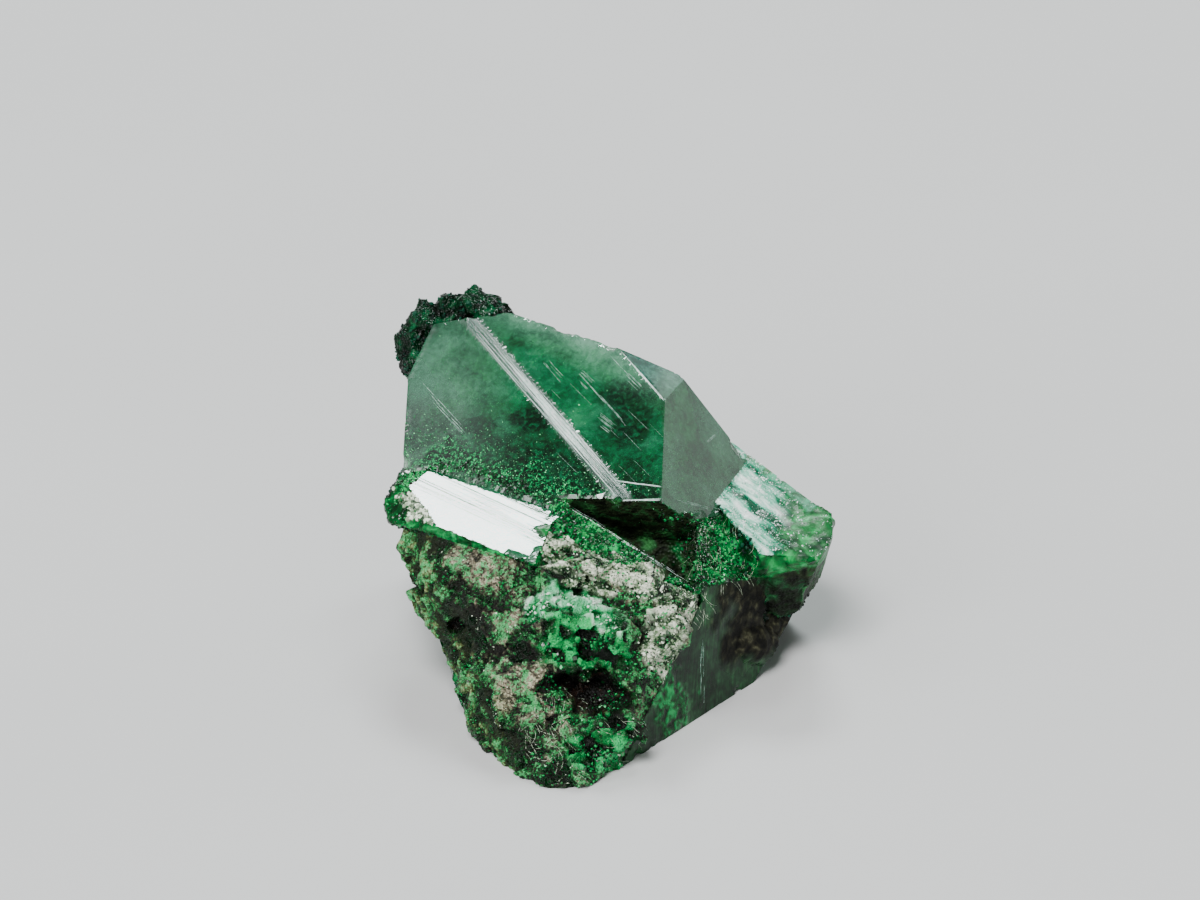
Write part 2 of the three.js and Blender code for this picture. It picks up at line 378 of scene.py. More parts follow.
class Material(Nodes):
    """A material being built. Its relief adds up from one bump() to the next."""

    def __init__(self, name):
        self.material = bpy.data.materials.new(name)
        self.material.use_nodes = True
        super().__init__(self.material.node_tree)
        place = self.add("TexCoord").outputs["Object"]
        self.place = self.vector("SCALE", place, 1 / MM)  # on the object, in mm
        self.relief = {}

    def value(self, name):
        """A value that the mesh carries at its points."""
        return self.add("Attribute", attribute_name=name).outputs["Fac"]

    def over(self, colour, name, value, ramps):
        """Lays the ramp of that name over a colour where the mesh's value of that name says."""
        return self.mix(self.value(name), colour, self.ramp(value, *ramps[name]))

    def mottle(self, scale, detail, distortion=0):
        inputs = {"Vector": self.place, "Scale": scale, "Detail": detail, "Distortion": distortion}
        return self.add("TexNoise", inputs).outputs["Fac"]

    def streaks(self, face, way, along, across, detail):
        """Noise stretched along a way on a face, both in standing coordinates."""
        way = unit(way) @ TO_FRAME.T
        out = unit(FACES[face]) @ TO_FRAME.T
        axes = (way * along, np.cross(out, way) * across, out * 2)
        parts = [self.vector("DOT_PRODUCT", self.place, axis) for axis in axes]
        stretched = self.add("CombineXYZ", dict(enumerate(parts))).outputs[0]
        inputs = {"Vector": stretched, "Scale": 1, "Detail": detail}
        return self.add("TexNoise", inputs).outputs["Fac"]

    def cells(self, scale):
        """A random number for each grain, with ragged bounds, and the depth within it."""
        inputs = {"Vector": self.place, "Scale": scale * 0.9, "Detail": 3}
        ragged = self.add("TexNoise", inputs).outputs["Color"]
        moved = self.vector("ADD", self.place, self.vector("SCALE", ragged, 0.9 / scale))
        made = self.add("TexVoronoi", {"Vector": moved, "Scale": scale})
        number = self.add("SeparateColor", {0: made.outputs["Color"]}).outputs[0]
        return number, made.outputs["Distance"]

    def bump(self, height, depth, strength):
        """Relief of that depth, in mm, on top of what is there."""
        inputs = {"Height": height, "Distance": depth * MM, "Strength": strength, **self.relief}
        self.relief = {"Normal": self.add("Bump", inputs).outputs[0]}

    def finish(self, colour, rough, ior=1.5, shine=0.5, clear=0, volume=None):
        """Ends in the shader. shine is 0.5 for the full gloss of that IOR."""
        inputs = {"Base Color": colour, "Roughness": rough, "IOR": ior, **self.relief}
        inputs |= {"Specular IOR Level": shine, "Transmission Weight": clear}
        ends = {"Surface": self.add("BsdfPrincipled", inputs).outputs[0]}
        if volume is not None:
            ends["Volume"] = volume
        self.add("OutputMaterial", ends)
        return self.material


# ---- the garnet's materials ------------------------------------------------------------
GARNET_IOR, GARNET_SHINE = 1.86, 0.5
REAR_IOR, REAR_SHINE = 1.5, 0.15  # the hidden faces would otherwise mirror the pale floor
DENSITY = 750.0  # per metre
CLEAR_GREEN = (0.10, 0.83, 0.52, 1.0)
CLEARNESS = 0.8  # the rest is the cloud of fine specks that the clear garnet is full of
CLOUDING = 0.55  # how much of it a point whose "solid" value is 1 loses
GROWTH_WAY = np.cross(FACES["broad"], FACES["riser"])  # the growth lines on the broad face
MIRROR_WAY = (0.91, -0.568, -0.41)  # the growth lines on the mirror face, along its length
REAR_WAY = (0.8, 0.1, -0.6)  # the growth lines on the faces that the photo hides
SHOULDER_WAY = (0.35, 0, -0.94)  # the combing of the rough shoulder

# Ramps of colour: the place, red, green and blue of each stop. All but the first of a material
# are laid over it, as much as the mesh's value of the same name says.
CLEAR_RAMPS = {
    "plain": ((0.36, 0, 0.11, 0.035), (0.5, 0.005, 0.42, 0.15), (0.66, 0.1, 0.78, 0.38)),
    "striped": ((0.38, 0, 0.015, 0.005), (0.5, 0, 0.085, 0.03), (0.64, 0.003, 0.26, 0.095)),
    # gloom: darker cloud, partly painted shade
    "gloom": ((0.42, 0, 0.005, 0.003), (0.54, 0, 0.06, 0.025), (0.66, 0, 0.3, 0.11)),
    "teal": ((0.4, 0, 0.08, 0.06), (0.5, 0.005, 0.2, 0.15), (0.62, 0.12, 0.5, 0.4)),
    # frost: the painted sheen and glow of the clear garnet, and on the shoulder the cream's own
    # whiteness
    "frost_and_sheen": ((0.4, 0.2, 0.5, 0.33), (0.6, 0.5, 0.85, 0.65)),
    "base": ((0.44, 0, 0.008, 0.003), (0.55, 0, 0.09, 0.025), (0.66, 0.01, 0.5, 0.14)),
    # band: near white, growth lines with a painted highlight
    "band": ((0.38, 0.04, 0.18, 0.12), (0.5, 0.35, 0.68, 0.55), (0.6, 0.85, 1, 0.95)),
}
GROWN_RAMPS = {
    "plain": (
        (0.36, 0, 0.004, 0.001), (0.5, 0, 0.035, 0.006), (0.6, 0.001, 0.15, 0.03),
        (0.72, 0.02, 0.42, 0.12),
    ),
    "bright": ((0.36, 0, 0.04, 0.008), (0.52, 0, 0.2, 0.035), (0.68, 0.01, 0.55, 0.14)),
    # pale: painted sheen on the shoulder's combed streaks
    "pale": (
        (0.38, 0, 0.07, 0.03), (0.46, 0.01, 0.3, 0.16), (0.54, 0.28, 0.66, 0.5),
        (0.64, 0.9, 1, 0.95),
    ),
    "dark": (
        (0.36, 0.003, 0.005, 0.002), (0.5, 0.022, 0.034, 0.014), (0.6, 0.02, 0.1, 0.03),
        (0.72, 0.06, 0.3, 0.08),
    ),
    "gloom": ((0.4, 0, 0.001, 0), (0.55, 0, 0.012, 0.005), (0.7, 0.002, 0.06, 0.025)),
}
LOW_RAMPS = {
    "plain": (
        (0.36, 0.001, 0.006, 0.002), (0.48, 0.008, 0.026, 0.011), (0.56, 0.012, 0.055, 0.02),
        (0.68, 0.03, 0.16, 0.05),
    ),
    "bright": ((0.38, 0, 0.015, 0.003), (0.5, 0, 0.1, 0.02), (0.64, 0.005, 0.38, 0.09)),
    # dark: a painted shadow beneath the shoulder's lump
    "dark": ((0.42, 0.002, 0.002, 0.001), (0.58, 0.02, 0.02, 0.011), (0.7, 0.07, 0.07, 0.04)),
}


def clear_haze(m):
    """The colour of the cloud in the clear garnet, with its painted sheen and glow, and in the
    gloom partly painted shade.
    """
    cloud, fine, grainy = m.mottle(1.1, 3, 0.4), m.mottle(9, 5, 0.6), m.mottle(14, 5, 0.6)
    shade = m.maths("ADD", m.times(cloud, 0.6), m.times(fine, 0.4))
    haze = m.ramp(shade, *CLEAR_RAMPS["plain"])
    for name in ("striped", "gloom", "teal", "frost_and_sheen", "base"):
        value = {"gloom": fine, "base": grainy}.get(name, shade)
        haze = m.over(haze, name, value, CLEAR_RAMPS)
    return haze


def clear_garnet(name, ior, shine):
    """The glassy garnet: clear, deep green by absorption, a little cloudy, lined by its growth."""
    m = Material(name)
    haze = clear_haze(m)
    # The riser of the growth step is all close lines, painted pale to near white: growth lines with
    # a painted highlight.
    band = m.value("band")
    close = m.streaks("broad", GROWTH_WAY, 0.5, 15, 4)
    m.bump(m.times(close, band), 0.05, 0.9)
    haze = m.over(haze, "band", close, CLEAR_RAMPS)
    # The faces that the photo hides are lined by growth too, faintly.
    striped = m.ramp(m.streaks("back", REAR_WAY, 0.3, 9, 3), (0.52, 0), (0.62, 0.7))
    striped = m.times(striped, m.value("striped"))
    haze = m.mix(striped, haze, (0.006, 0.19, 0.08))
    m.bump(striped, 0.01, 0.6)
    # Lines along the mirror face, then pits all over.
    lined = m.ramp(m.streaks("mirror", MIRROR_WAY, 0.12, 9, 1), (0.54, 0), (0.58, 1))
    m.bump(m.times(lined, m.value("lined")), 0.012, 0.7)
    m.bump(m.ramp(m.mottle(6, 5), (0.6, 0), (0.75, 1)), 0.003, 0.2)
    # Chipped edges are paled, by the wear's own whiteness and a painted highlight along the edges.
    wear_and_glint = m.value("wear_and_glint")
    haze = m.mix(wear_and_glint, haze, (0.75, 0.95, 0.82))
    rough = m.ramp(m.mottle(1.4, 5, 0.6), (0.35, 0.04), (0.7, 0.12))
    rough = m.mix(wear_and_glint, m.mix(band, rough, 0.25), 0.4)
    clear = m.maths("MULTIPLY_ADD", m.value("solid"), -CLOUDING, CLEARNESS)
    absorbed = m.add("VolumeAbsorption", {"Color": CLEAR_GREEN, "Density": DENSITY})
    return m.finish(haze, rough, ior, shine, clear, absorbed.outputs[0])


def grown_garnet():
    """The rough garnet where small crystals cover a face or rock broke away."""
    m = Material("garnet_grown")
    pale, cream, dark = (m.value(name) for name in ("pale", "cream", "dark"))
    shade = m.mottle(3.4, 7, 0.5)
    combed = m.streaks("wave_a", SHOULDER_WAY, 1.6, 7, 5)
    green = m.ramp(shade, *GROWN_RAMPS["plain"])
    green = m.over(green, "bright", shade, GROWN_RAMPS)
    # Painted sheen: the pale combed streaks on the shoulder.
    green = m.over(green, "pale", combed, GROWN_RAMPS)
    # Here the frost value only whitens the cream bar on the shoulder, the cream's own colour.
    bar = m.mix(m.value("frost_and_sheen"), (0.14, 0.52, 0.32), (0.85, 0.84, 0.66))
    bar = m.mix(m.ramp(shade, (0.4, 0.85), (0.56, 0)), bar, (0.06, 0.16, 0.07))
    green = m.mix(cream, green, bar)
    green = m.over(green, "dark", shade, GROWN_RAMPS)
    # gloom: painted shade on the crust behind and at the foot of the shoulder's overhang.
    green = m.over(green, "gloom", shade, GROWN_RAMPS)
    grain = m.add("TexVoronoi", {"Vector": m.place, "Scale": 15}).outputs["Distance"]
    plain = m.maths("SUBTRACT", 1, m.maths("MAXIMUM", pale, m.value("bright")))
    m.bump(m.times(grain, plain), 0.04, 0.8)
    m.bump(m.times(combed, pale), 0.09, 0.8)
    m.bump(m.mottle(16, 4), 0.012, 0.6)
    m.bump(m.times(shade, cream), 0.15, 0.9)
    return m.finish(green, m.mix(dark, 0.18, 0.6), 1.6, 0.12)


def low_face():
    """The dark, dull green face low on the right, finely lined up and down."""
    m = Material("garnet_low_face")
    dark, fine = m.value("dark"), m.mottle(6, 7, 0.3)
    lined = m.streaks("low_right", (0, 0.1, -1), 0.8, 20, 5)
    shade = m.maths("ADD", m.times(fine, 0.35), m.times(lined, 0.2))
    shade = m.maths("ADD", shade, m.times(m.mottle(0.9, 3), 0.45))
    green = m.ramp(shade, *LOW_RAMPS["plain"])
    green = m.over(green, "bright", fine, LOW_RAMPS)
    # The dark layer is a painted shadow, brown and near black, beneath the shoulder's lump.
    green = m.over(green, "dark", fine, LOW_RAMPS)
    m.bump(lined, 0.008, 0.4)
    m.bump(m.times(fine, m.maths("MAXIMUM", dark, m.value("bright"))), 0.06, 0.8)
    return m.finish(green, m.mix(dark, 0.25, 0.7), 1.25)


# ---- zones, as seen from the front -----------------------------------------------------
def spot(own, centre, radii, turn, wobble, seed):
    """How far inside a ragged oval, in the standing X and Z, each point lies: 1 is its middle."""
    x, z = own[:, 0] - centre[0], own[:, 2] - centre[1]
    turn = math.radians(turn)
    u = (x * math.cos(turn) + z * math.sin(turn)) / radii[0]
    v = (z * math.cos(turn) - x * math.sin(turn)) / radii[1]
    ragged = wobble * fractal(own, 0.5 * min(radii) + 0.1, 3, seed)
    return 1 - np.hypot(u, v) + ragged


def trail(own, path, width, wobble, seed):
    """The same for a ragged stripe along a path of (X, Z) points."""
    flat = own[:, (0, 2)]
    nearest = np.full(len(own), np.inf)
    for a, b in itertools.pairwise(np.array(path)):
        t = np.clip((flat - a) @ (b - a) / ((b - a) @ (b - a)), 0, 1)
        away = np.linalg.norm(flat - a - t[:, None] * (b - a), axis=1)
        nearest = np.minimum(nearest, away)
    return 1 - nearest / width + wobble * fractal(own, 0.6 * width + 0.05, 3, seed)


# ---- the garnet's body -----------------------------------------------------------------
garnet = Surface("garnet_crystal")
# How far, in mm, a face's surface wanders from flat, and over what length.
WANDER = {
    "broad": (0.02, 2.6),
    "right": (0.012, 2.0),
    "small": (0.02, 0.8),
    "low_right": (0.02, 1.2),
    "mirror": (0.008, 1.5),
    "riser": (0.02, 0.5),
    "slope": (0.09, 0.35),
    "ledge": (0.09, 0.35),
    "notch_roof": (0.04, 0.5),
    "notch_floor": (0.05, 0.5),
    "notch_right": (0.05, 0.5),
    "notch_back": (0.06, 0.5),
    "wave_a": (0.09, 0.75),
    "wave_b": (0.09, 0.75),
    "wave_c": (0.09, 0.75),
    "wave_d": (0.09, 0.6),
    "overhang": (0.10, 0.5),
    "rim": (0.03, 0.4),
    "slab_end": (0.04, 0.3),
    "bevel_a": (0.03, 0.4),
    "bevel_b": (0.03, 0.4),
}
PLAIN_WANDER = (0.03, 1.6)  # the same for the faces that aren't listed
CRUST_WANDER = (0.05, 0.3)  # and for the small planes of the crust behind
ROUGH_FROM = 0.035  # a face that wanders further than this has finer relief too
DOME, DOME_AT, DOME_REACH = 0.12, (-1.4, 7.4), (2.2, 2.0)  # the broad face's slight bulge
BAND = [(-2.72, 9.12), (0.30, 5.62)]  # the middle of the growth step's riser, from the front
BAND_REACH = 0.17
MIRROR_AT = (-3.5, 4.14, 6.1)  # a point of the mirror face
TIP = (-0.92, 5.26)  # the right end of the mirror face
TIP_LENGTH, TIP_DEPTH = 0.7, 0.15
TIP_RISE, TIP_FALL = 0.46, -0.7  # the slopes of its upper and lower side, to the left
BASE_PATH = [(-4.0, 6.2), (-3.2, 6.45), (-2.2, 6.15), (-1.0, 5.75), (0.2, 5.35)]
FRONT_Y = 4.6  # what lies further back than this isn't on the front of the garnet
FOOT_TOP = 5.42  # below this the broad face is grown over like the slope beside it
DULL_TOP = 3.8  # below this the right face is dull like the low face beside it
NOTCH_X, NOTCH_HALF, NOTCH_TOP = 1.1, 0.6, 5.3  # where the broad face ends in the notch
EDGE_STEP = 0.012  # between the points that an edge is measured by
EDGE_SHARE = 0.66  # points within this share of a cell are drawn onto the edge
CHIP_REACH, CHIP_DEPTH = 0.09, 0.11
SHARP_ANGLE = math.radians(20)


def edge_lengths(surface):
    """Points along the sharp edges of the flat faces, the way out of each, and which may chip."""
    ways = WAYS @ TO_FRAME.T
    riser = ways[NAMES.index("riser")]
    places, outs, chips = [], [], []
    for a, b, normal_a, normal_b in surface.edges:
        if max((ways @ normal_a).max(), (ways @ normal_b).max()) < SAME_WAY:
            continue
        a, b = np.array(a), np.array(b)
        count = max(2, int(np.linalg.norm(b - a) / EDGE_STEP))
        t = np.linspace(0, 1, count)[:, None]
        places.append(a + t * (b - a))
        outs.append(np.repeat(unit(np.add(normal_a, normal_b))[None], count, 0))
        chips.append(np.full(count, max(riser @ normal_a, riser @ normal_b) < SAME_WAY))
    return np.concatenate(places), np.concatenate(outs), np.concatenate(chips)


def nearest_of(marks, places):
    """For each place, the number of the nearest mark and its distance."""
    tree = KDTree(len(marks))
    for i, mark in enumerate(marks):
        tree.insert(mark, i)
    tree.balance()
    found = [tree.find(p) for p in places]
    return [f[1] for f in found], np.array([f[2] for f in found])


def at_edges(own, places, sharpened):
    """Draws the points near an edge onto it, so that it is sharp, and chips it in places.

    Gives the places, the chipping as a share and as a shift, which points were drawn and which
    lie by an edge that may chip.
    """
    edge_places, edge_ways, may_chip = edge_lengths(garnet)
    nearest, distance = nearest_of(edge_places, places)
    may_chip = may_chip[nearest]
    near = np.exp(-((distance / CHIP_REACH) ** 2))
    kept_sharp = smooth_step(spot(own, (1.14, 6.6), (0.5, 1.3), 0, 0, 1), 0, 0.3)
    chip = near * smooth_step(fractal(own, 0.45, 3, 11), 0.3, 1.1) * may_chip * (1 - kept_sharp)
    drawn = (distance < EDGE_SHARE * BODY_CELL) & sharpened
    places = np.where(drawn[:, None], edge_places[nearest], places)
    chipped = edge_ways[nearest] * (CHIP_DEPTH * chip)[:, None]
    return places, chip, chipped, drawn, may_chip


def clear_tints(own, numbers):
    """How cloudy, grey, teal or dark the clear garnet is at each point; the grey is painted sheen
    and glow, and some of the dark is painted shade.
    """
    x, y, z = own.T
    broad, right, small = (on(numbers, name) for name in ("broad", "right", "small"))
    hidden = on(numbers, *HIDDEN)
    low = 1 - smooth_step(z + 0.35 * x, 5.6, 7.0)
    left = 1 - smooth_step(x - 0.25 * z, -5.0, -3.6)
    upper = smooth_step(z + 0.45 * x, 7.6, 8.8)
    # The dim patches and the darker bottom of the broad face are partly darker cloud, partly
    # painted shade where less sheen and glow fall.
    dim = [
        spot(own, (-1.5, 7.1), (0.8, 0.5), -20, 0.35, 91),
        spot(own, (0.45, 7.3), (0.9, 1.1), 0, 0.35, 92),
        spot(own, (-3.4, 6.4), (1.0, 0.6), -20, 0.35, 93) * 1.3,
        spot(own, (-0.5, 5.8), (1.1, 0.5), -20, 0.35, 94) * 1.6,
        0.8 * low,
    ]
    base = broad * smooth_step(trail(own, BASE_PATH, 0.5, 0.5, 46), 0, 0.8) * (y < FRONT_Y)
    return {
        "base": base,
        # The thicker cloud at the broad face's top pales it, part of its painted glow.
        "solid": np.maximum(base, 0.4 * broad * upper) + 0.3 * small + 0.7 * hidden,
        "striped": hidden.astype(float),
        "gloom": 0.9 * broad * smooth_step(np.maximum.reduce(dim), 0.1, 0.8)
        + 0.7 * hidden * smooth_step(fractal(own, 1.8, 4, 101), -0.2, 0.9)
        # Painted shade on the crust behind the garnet and at the foot of the shoulder's overhang.
        + 0.85 * (numbers < 0) * (y > 4)
        + 0.6 * on(numbers, "overhang") * (z < 4),
        "teal": 0.9 * small + 0.15 * hidden * smooth_step(fractal(own, 1.2, 3, 102), 0, 0.8),
        # Painted sheen and glow: a pale cloud on the broad face's left and top, the right face and
        # the small face's lower end; on the shoulder the same value whitens the cream, its own
        # colour.
        "frost_and_sheen": broad * np.maximum(0.35 * left, 0.75 * upper)
        + 0.3 * right
        + 0.5 * small * smooth_step(x - 0.3 * z, -1.65, -1.15)
        + on(numbers, "wave_b") * smooth_step(-x, -3.5, -3.2),
    }


def rough_tints(own, numbers):
    """How bright green, pale, cream or near black the rough garnet is at each point. Much of the
    near black is painted shade, in the notch, under the shoulder's overhang, on its lower faces and
    on the low face beneath them; the pale streaks on the shoulder are painted sheen.
    """
    x, _, z = own.T
    wave, low_right = on(numbers, *SHOULDER), on(numbers, "low_right")
    # The shoulder's lower faces, in painted shade under it.
    low_wave = on(numbers, "wave_c", "wave_d") * (1 - smooth_step(z, 3.9, 4.6))
    right_end = smooth_step(x + 0.15 * fractal(own, 0.4, 3, 95), 3.2, 3.7)
    under = smooth_step(z - 0.25 * x + 0.3 * fractal(own, 0.5, 3, 97), 2.95, 3.3)
    # The notch's left part is near black: partly its own dark brownish green, partly painted shade
    # in the recess.
    left_notch = 1 - smooth_step(x + 0.6 * fractal(own, 0.35, 4, 63), 1.35, 2.1)
    cream = smooth_step(trail(own, [(2.9, 6.45), (3.5, 6.0), (4.1, 5.4)], 0.16, 0.2, 96), 0.1, 0.5)
    leafy = smooth_step(spot(own, (1.25, 1.6), (0.5, 0.75), 10, 0.5, 99), 0.1, 0.5)
    # A painted shadow, dark brown, low on the right face beneath the shoulder's lump.
    shadow_under_lump = smooth_step(spot(own, (3.1, 3.2), (1.1, 1.1), 0, 0.4, 98), 0, 0.4)
    return {
        "bright": 0.9 * on(numbers, "slab_end")
        + on(numbers, "rim") * (0.15 + 0.7 * smooth_step(x, -3.0, -2.2))
        + 0.5 * on(numbers, "slope")
        + 0.3 * on(numbers, "bevel_b", "ledge")
        + 0.9 * on(numbers, "overhang") * under
        + wave * right_end * (1 - low_wave)
        + low_right * leafy,
        # Painted sheen and glints: pale combed streaks on the shoulder.
        "pale": wave * (1 - 0.95 * right_end) * (1 - low_wave),
        "cream": wave * cream,
        "dark": 0.95 * on(numbers, *NOTCH) * left_notch
        # Painted shade under the overhang and on the shoulder's lower faces.
        + on(numbers, "overhang") * (1 - under)
        + 0.8 * low_wave
        + 0.35 * wave * right_end * (1 - low_wave)
        + low_right * shadow_under_lump,
    }


def rename(own, numbers):
    """Counts the parts of the flat faces that are grown over with the rough faces beside them."""
    x, _, z = own.T
    numbers[on(numbers, "broad") & (z < FOOT_TOP)] = NAMES.index("slope")
    numbers[on(numbers, "right") & (z < DULL_TOP)] = NAMES.index("low_right")
    in_notch = on(numbers, "broad", "right") & (np.abs(x - NOTCH_X) < NOTCH_HALF) & (z < NOTCH_TOP)
    numbers[in_notch] = NAMES.index("notch_back")


def run_to_tip(own, numbers, ways):
    """Lets the mirror face run on a little over the slope, to a tip, and says which points do."""
    x, y, z = MIRROR_AT
    out = FACES["mirror"]
    level = y - (out[0] * (own[:, 0] - x) + out[2] * (own[:, 2] - z)) / out[1]
    left = TIP[0] - own[:, 0]
    on_tip = (np.abs(own[:, 1] - level) < TIP_DEPTH) & (left > 0) & (left < TIP_LENGTH)
    on_tip &= (own[:, 2] < TIP[1] + TIP_RISE * left) & (own[:, 2] > TIP[1] + TIP_FALL * left)
    on_tip &= on(numbers, "slope", "slab_end")
    own[on_tip, 1] = level[on_tip]
    numbers[on_tip] = NAMES.index("mirror")
    ways[on_tip] = unit(out) @ TO_FRAME.T
    return on_tip


def wandering(own, numbers):
    """How far each point stands out from its packed face."""
    height = np.zeros(len(own))
    for name, (amount, size) in WANDER.items():
        here = on(numbers, name)
        height[here] = amount * fractal(own[here], size, 4 if amount > ROUGH_FROM else 1, 3)
    lump = np.maximum(spot(own, (3.0, 2.62), (0.42, 0.4), 0, 0.15, 44), 0)
    height += 0.22 * np.sqrt(lump * on(numbers, "low_right"))
    crust = numbers < 0
    height[crust] = CRUST_WANDER[0] * fractal(own[crust], CRUST_WANDER[1], 3, 5)
    plain = ~crust & (height == 0)
    height[plain] = PLAIN_WANDER[0] * noise(own[plain], PLAIN_WANDER[1], 7)
    return height


def garnet_body():
    """The whole garnet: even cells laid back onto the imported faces, then worn and grown over."""
    points, triangles = garnet.even(BODY_CELL)
    places, faces, _ = garnet.nearest(points)
    numbers, ways = face_numbers(garnet)[faces], garnet.normals[faces]
    own = standing(places)
    rename(own, numbers)
    on_tip = run_to_tip(own, numbers, ways)
    places = in_frame(own)
    bitten = spot(own, (-1.12, 4.93), (0.36, 0.15), -10, 0.25, 45) > 0
    numbers[bitten & on(numbers, "mirror")] = NAMES.index("slab_end")
    height = wandering(own, numbers)

    places, chip, chipped, drawn, may_chip = at_edges(own, places, (numbers >= 0) & ~on_tip)
    height = np.where(drawn, 0, height)
    moved = places + ways * height[:, None] - chipped
    # The broad face bulges very slightly, which spreads its sheen.
    u, v = ((own[:, i] - at) / reach for i, at, reach in zip((0, 2), DOME_AT, DOME_REACH))
    bulge = DOME * np.exp(-(u**2) - v**2) * (on(numbers, "broad", "riser") & ~(drawn & may_chip))
    moved += (unit(FACES["broad"]) @ TO_FRAME.T) * bulge[:, None]
    moved[:, 2] = np.maximum(moved[:, 2], 0)

    band = smooth_step(trail(own, BAND, BAND_REACH, 0, 1), 0, 0.25)
    lined = smooth_step(own[:, 2] + 0.45 * own[:, 0], 4.0, 4.3)
    values = {
        "band": on(numbers, "riser", "broad") * band,
        "wear_and_glint": chip,
        "lined": on(numbers, "mirror") * lined,
        **clear_tints(own, numbers),
        **rough_tints(own, numbers),
    }
    made = make_mesh("garnet", moved, triangles, values, smooth=True)
    kinds = np.ones(len(numbers), int)  # the number of each point's material, rough at first
    for kind, names in ((0, GLASSY), (2, ("low_right",)), (3, HIDDEN)):
        kinds[on(numbers, *names)] = kind
    made.data.materials.append(clear_garnet("garnet_clear", GARNET_IOR, GARNET_SHINE))
    made.data.materials.append(grown_garnet())
    made.data.materials.append(low_face())
    made.data.materials.append(clear_garnet("garnet_rear", REAR_IOR, REAR_SHINE))
    shown = np.median(kinds[triangles], 1).astype(np.int32)
    made.data.polygons.foreach_set("material_index", shown)
    made.data.set_sharp_from_angle(angle=SHARP_ANGLE)
    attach(made, "root")
    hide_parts("garnet_crystal")
    return moved, triangles, np.median(numbers[triangles], 1).astype(int)


body_points, body_triangles, body_faces = garnet_body()


# ---- the rock --------------------------------------------------------------------------
rock_cad = Surface("matrix")
WALL_REACH = 0.42  # rock nearer than this to the garnet grows onto it
MIRROR_REACH, MIRROR_GAP = 0.5, 0.12  # rock this near the mirror face is kept that far below it
FRONT_ROCK_Y = 3.0  # rock further back than this isn't in the photo
DENT_WAY = (0, 1, 0.15)  # the way in of the two hollows
# Lumps on the rock: the middle in standing coordinates, and half the size each way.
ROCK_LUMPS = [
    ((-0.9, 1.5, 3.45), (0.6, 0.35, 0.2)),
    ((-0.25, 1.35, 3.2), (0.6, 0.35, 0.2)),
    ((0.25, 1.15, 2.65), (0.3, 0.3, 0.45)),
    ((-0.8, 1.3, 2.9), (0.75, 0.3, 0.45)),
    ((-0.3, 0.45, 0.85), (0.7, 0.35, 0.4)),
    ((0.25, 0.5, 0.95), (0.5, 0.3, 0.25)),
    ((-1.1, 2.35, 4.65), (0.5, 0.4, 0.3)),
    ((-0.3, 2.2, 4.35), (0.6, 0.4, 0.25)),
    ((0.5, 2.05, 4.0), (0.6, 0.4, 0.25)),
    ((1.2, 1.8, 3.6), (0.5, 0.4, 0.3)),
    ((1.15, 1.4, 2.9), (0.45, 0.35, 0.6)),
    ((-0.95, 2.0, 4.0), (0.45, 0.5, 0.45)),
]
# The pale mint along the clump's top edge is a painted highlight where light falls from above.
MINT_PATH = [(-1.46, 3.35), (-1.08, 3.68), (-0.3, 3.48), (0.1, 3.0)]
PALE_STRIP = [(-0.8, 3.94), (0.1, 3.74)]
TAN_PATHS = [
    [(-3.7, 5.3), (-2.9, 4.7), (-2.0, 4.2)],
    [(-3.3, 5.0), (-2.2, 3.7), (-1.8, 3.2)],
    [(-2.6, 3.4), (-2.1, 2.4), (-1.9, 1.6)],
    [(-1.3, 2.4), (-1.2, 1.4), (-0.9, 0.9)],
]
CREAM_PATH = [(-1.3, 4.75), (-0.3, 4.35), (0.84, 3.9), (1.6, 3.5)]
CHALK_PATH = [(-1.2, 4.65), (-0.5, 4.4), (0.7, 3.8)]  # the whitest of the cream
COMB_WAY, LAYER_WAY = (0.55, 0, -0.83), (0.94, 0, -0.34)


def stretching(way, along, across):
    """Turns a way in the standing X and Z into an axis and scales along and across it."""
    x, _, z = way
    return np.array(((x * along, 0, -z * across), (0, across, 0), (z * along, 0, x * across)))


COMB, LAYERS = stretching(COMB_WAY, 0.3, 1.6), stretching(LAYER_WAY, 0.4, 1.8)


def cream_zone(own):
    near = np.maximum(
        trail(own, CREAM_PATH, 0.42, 0.35, 51), trail(own, PALE_STRIP, 0.12, 0.3, 56)
    )
    near = np.maximum(near, spot(own, (1.12, 2.76), (0.6, 1.0), 0, 0.35, 52))
    return smooth_step(near, 0.1, 0.4)


# The painted highlight along the clump's top edge.
def mint_zone(own, width):
    mint = smooth_step(trail(own, MINT_PATH, width, 0.4, 53), 0.1, 0.5)
    return mint * (own[:, 1] < FRONT_ROCK_Y)


def clump_zone(own):
    """How far inside the two clumps of deep green crystals each point lies."""
    upper = spot(own, (-0.5, 2.75), (1.05, 0.8), -20, 0.2, 54)
    return np.maximum(upper, spot(own, (-0.1, 0.75), (0.9, 0.6), 15, 0.2, 55))


def rock_surface():
    """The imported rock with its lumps, remade in even cells."""
    mesh = bmesh.new()
    mesh.from_mesh(rock_cad.mesh)
    for centre, radii in ROCK_LUMPS:
        ball = bmesh.ops.create_icosphere(mesh, subdivisions=3, radius=1)["verts"]
        bmesh.ops.scale(mesh, vec=radii, verts=ball)
        bmesh.ops.translate(mesh, vec=in_frame(centre), verts=ball)
    mesh.to_mesh(rock_cad.mesh)
    mesh.free()
    return rock_cad.even(ROCK_CELL)


def normals_of(points, triangles):
    flat = ways_out(points, triangles)
    out = np.zeros_like(points)
    for i in range(3):
        np.add.at(out, triangles[:, i], flat)
    return unit(out)


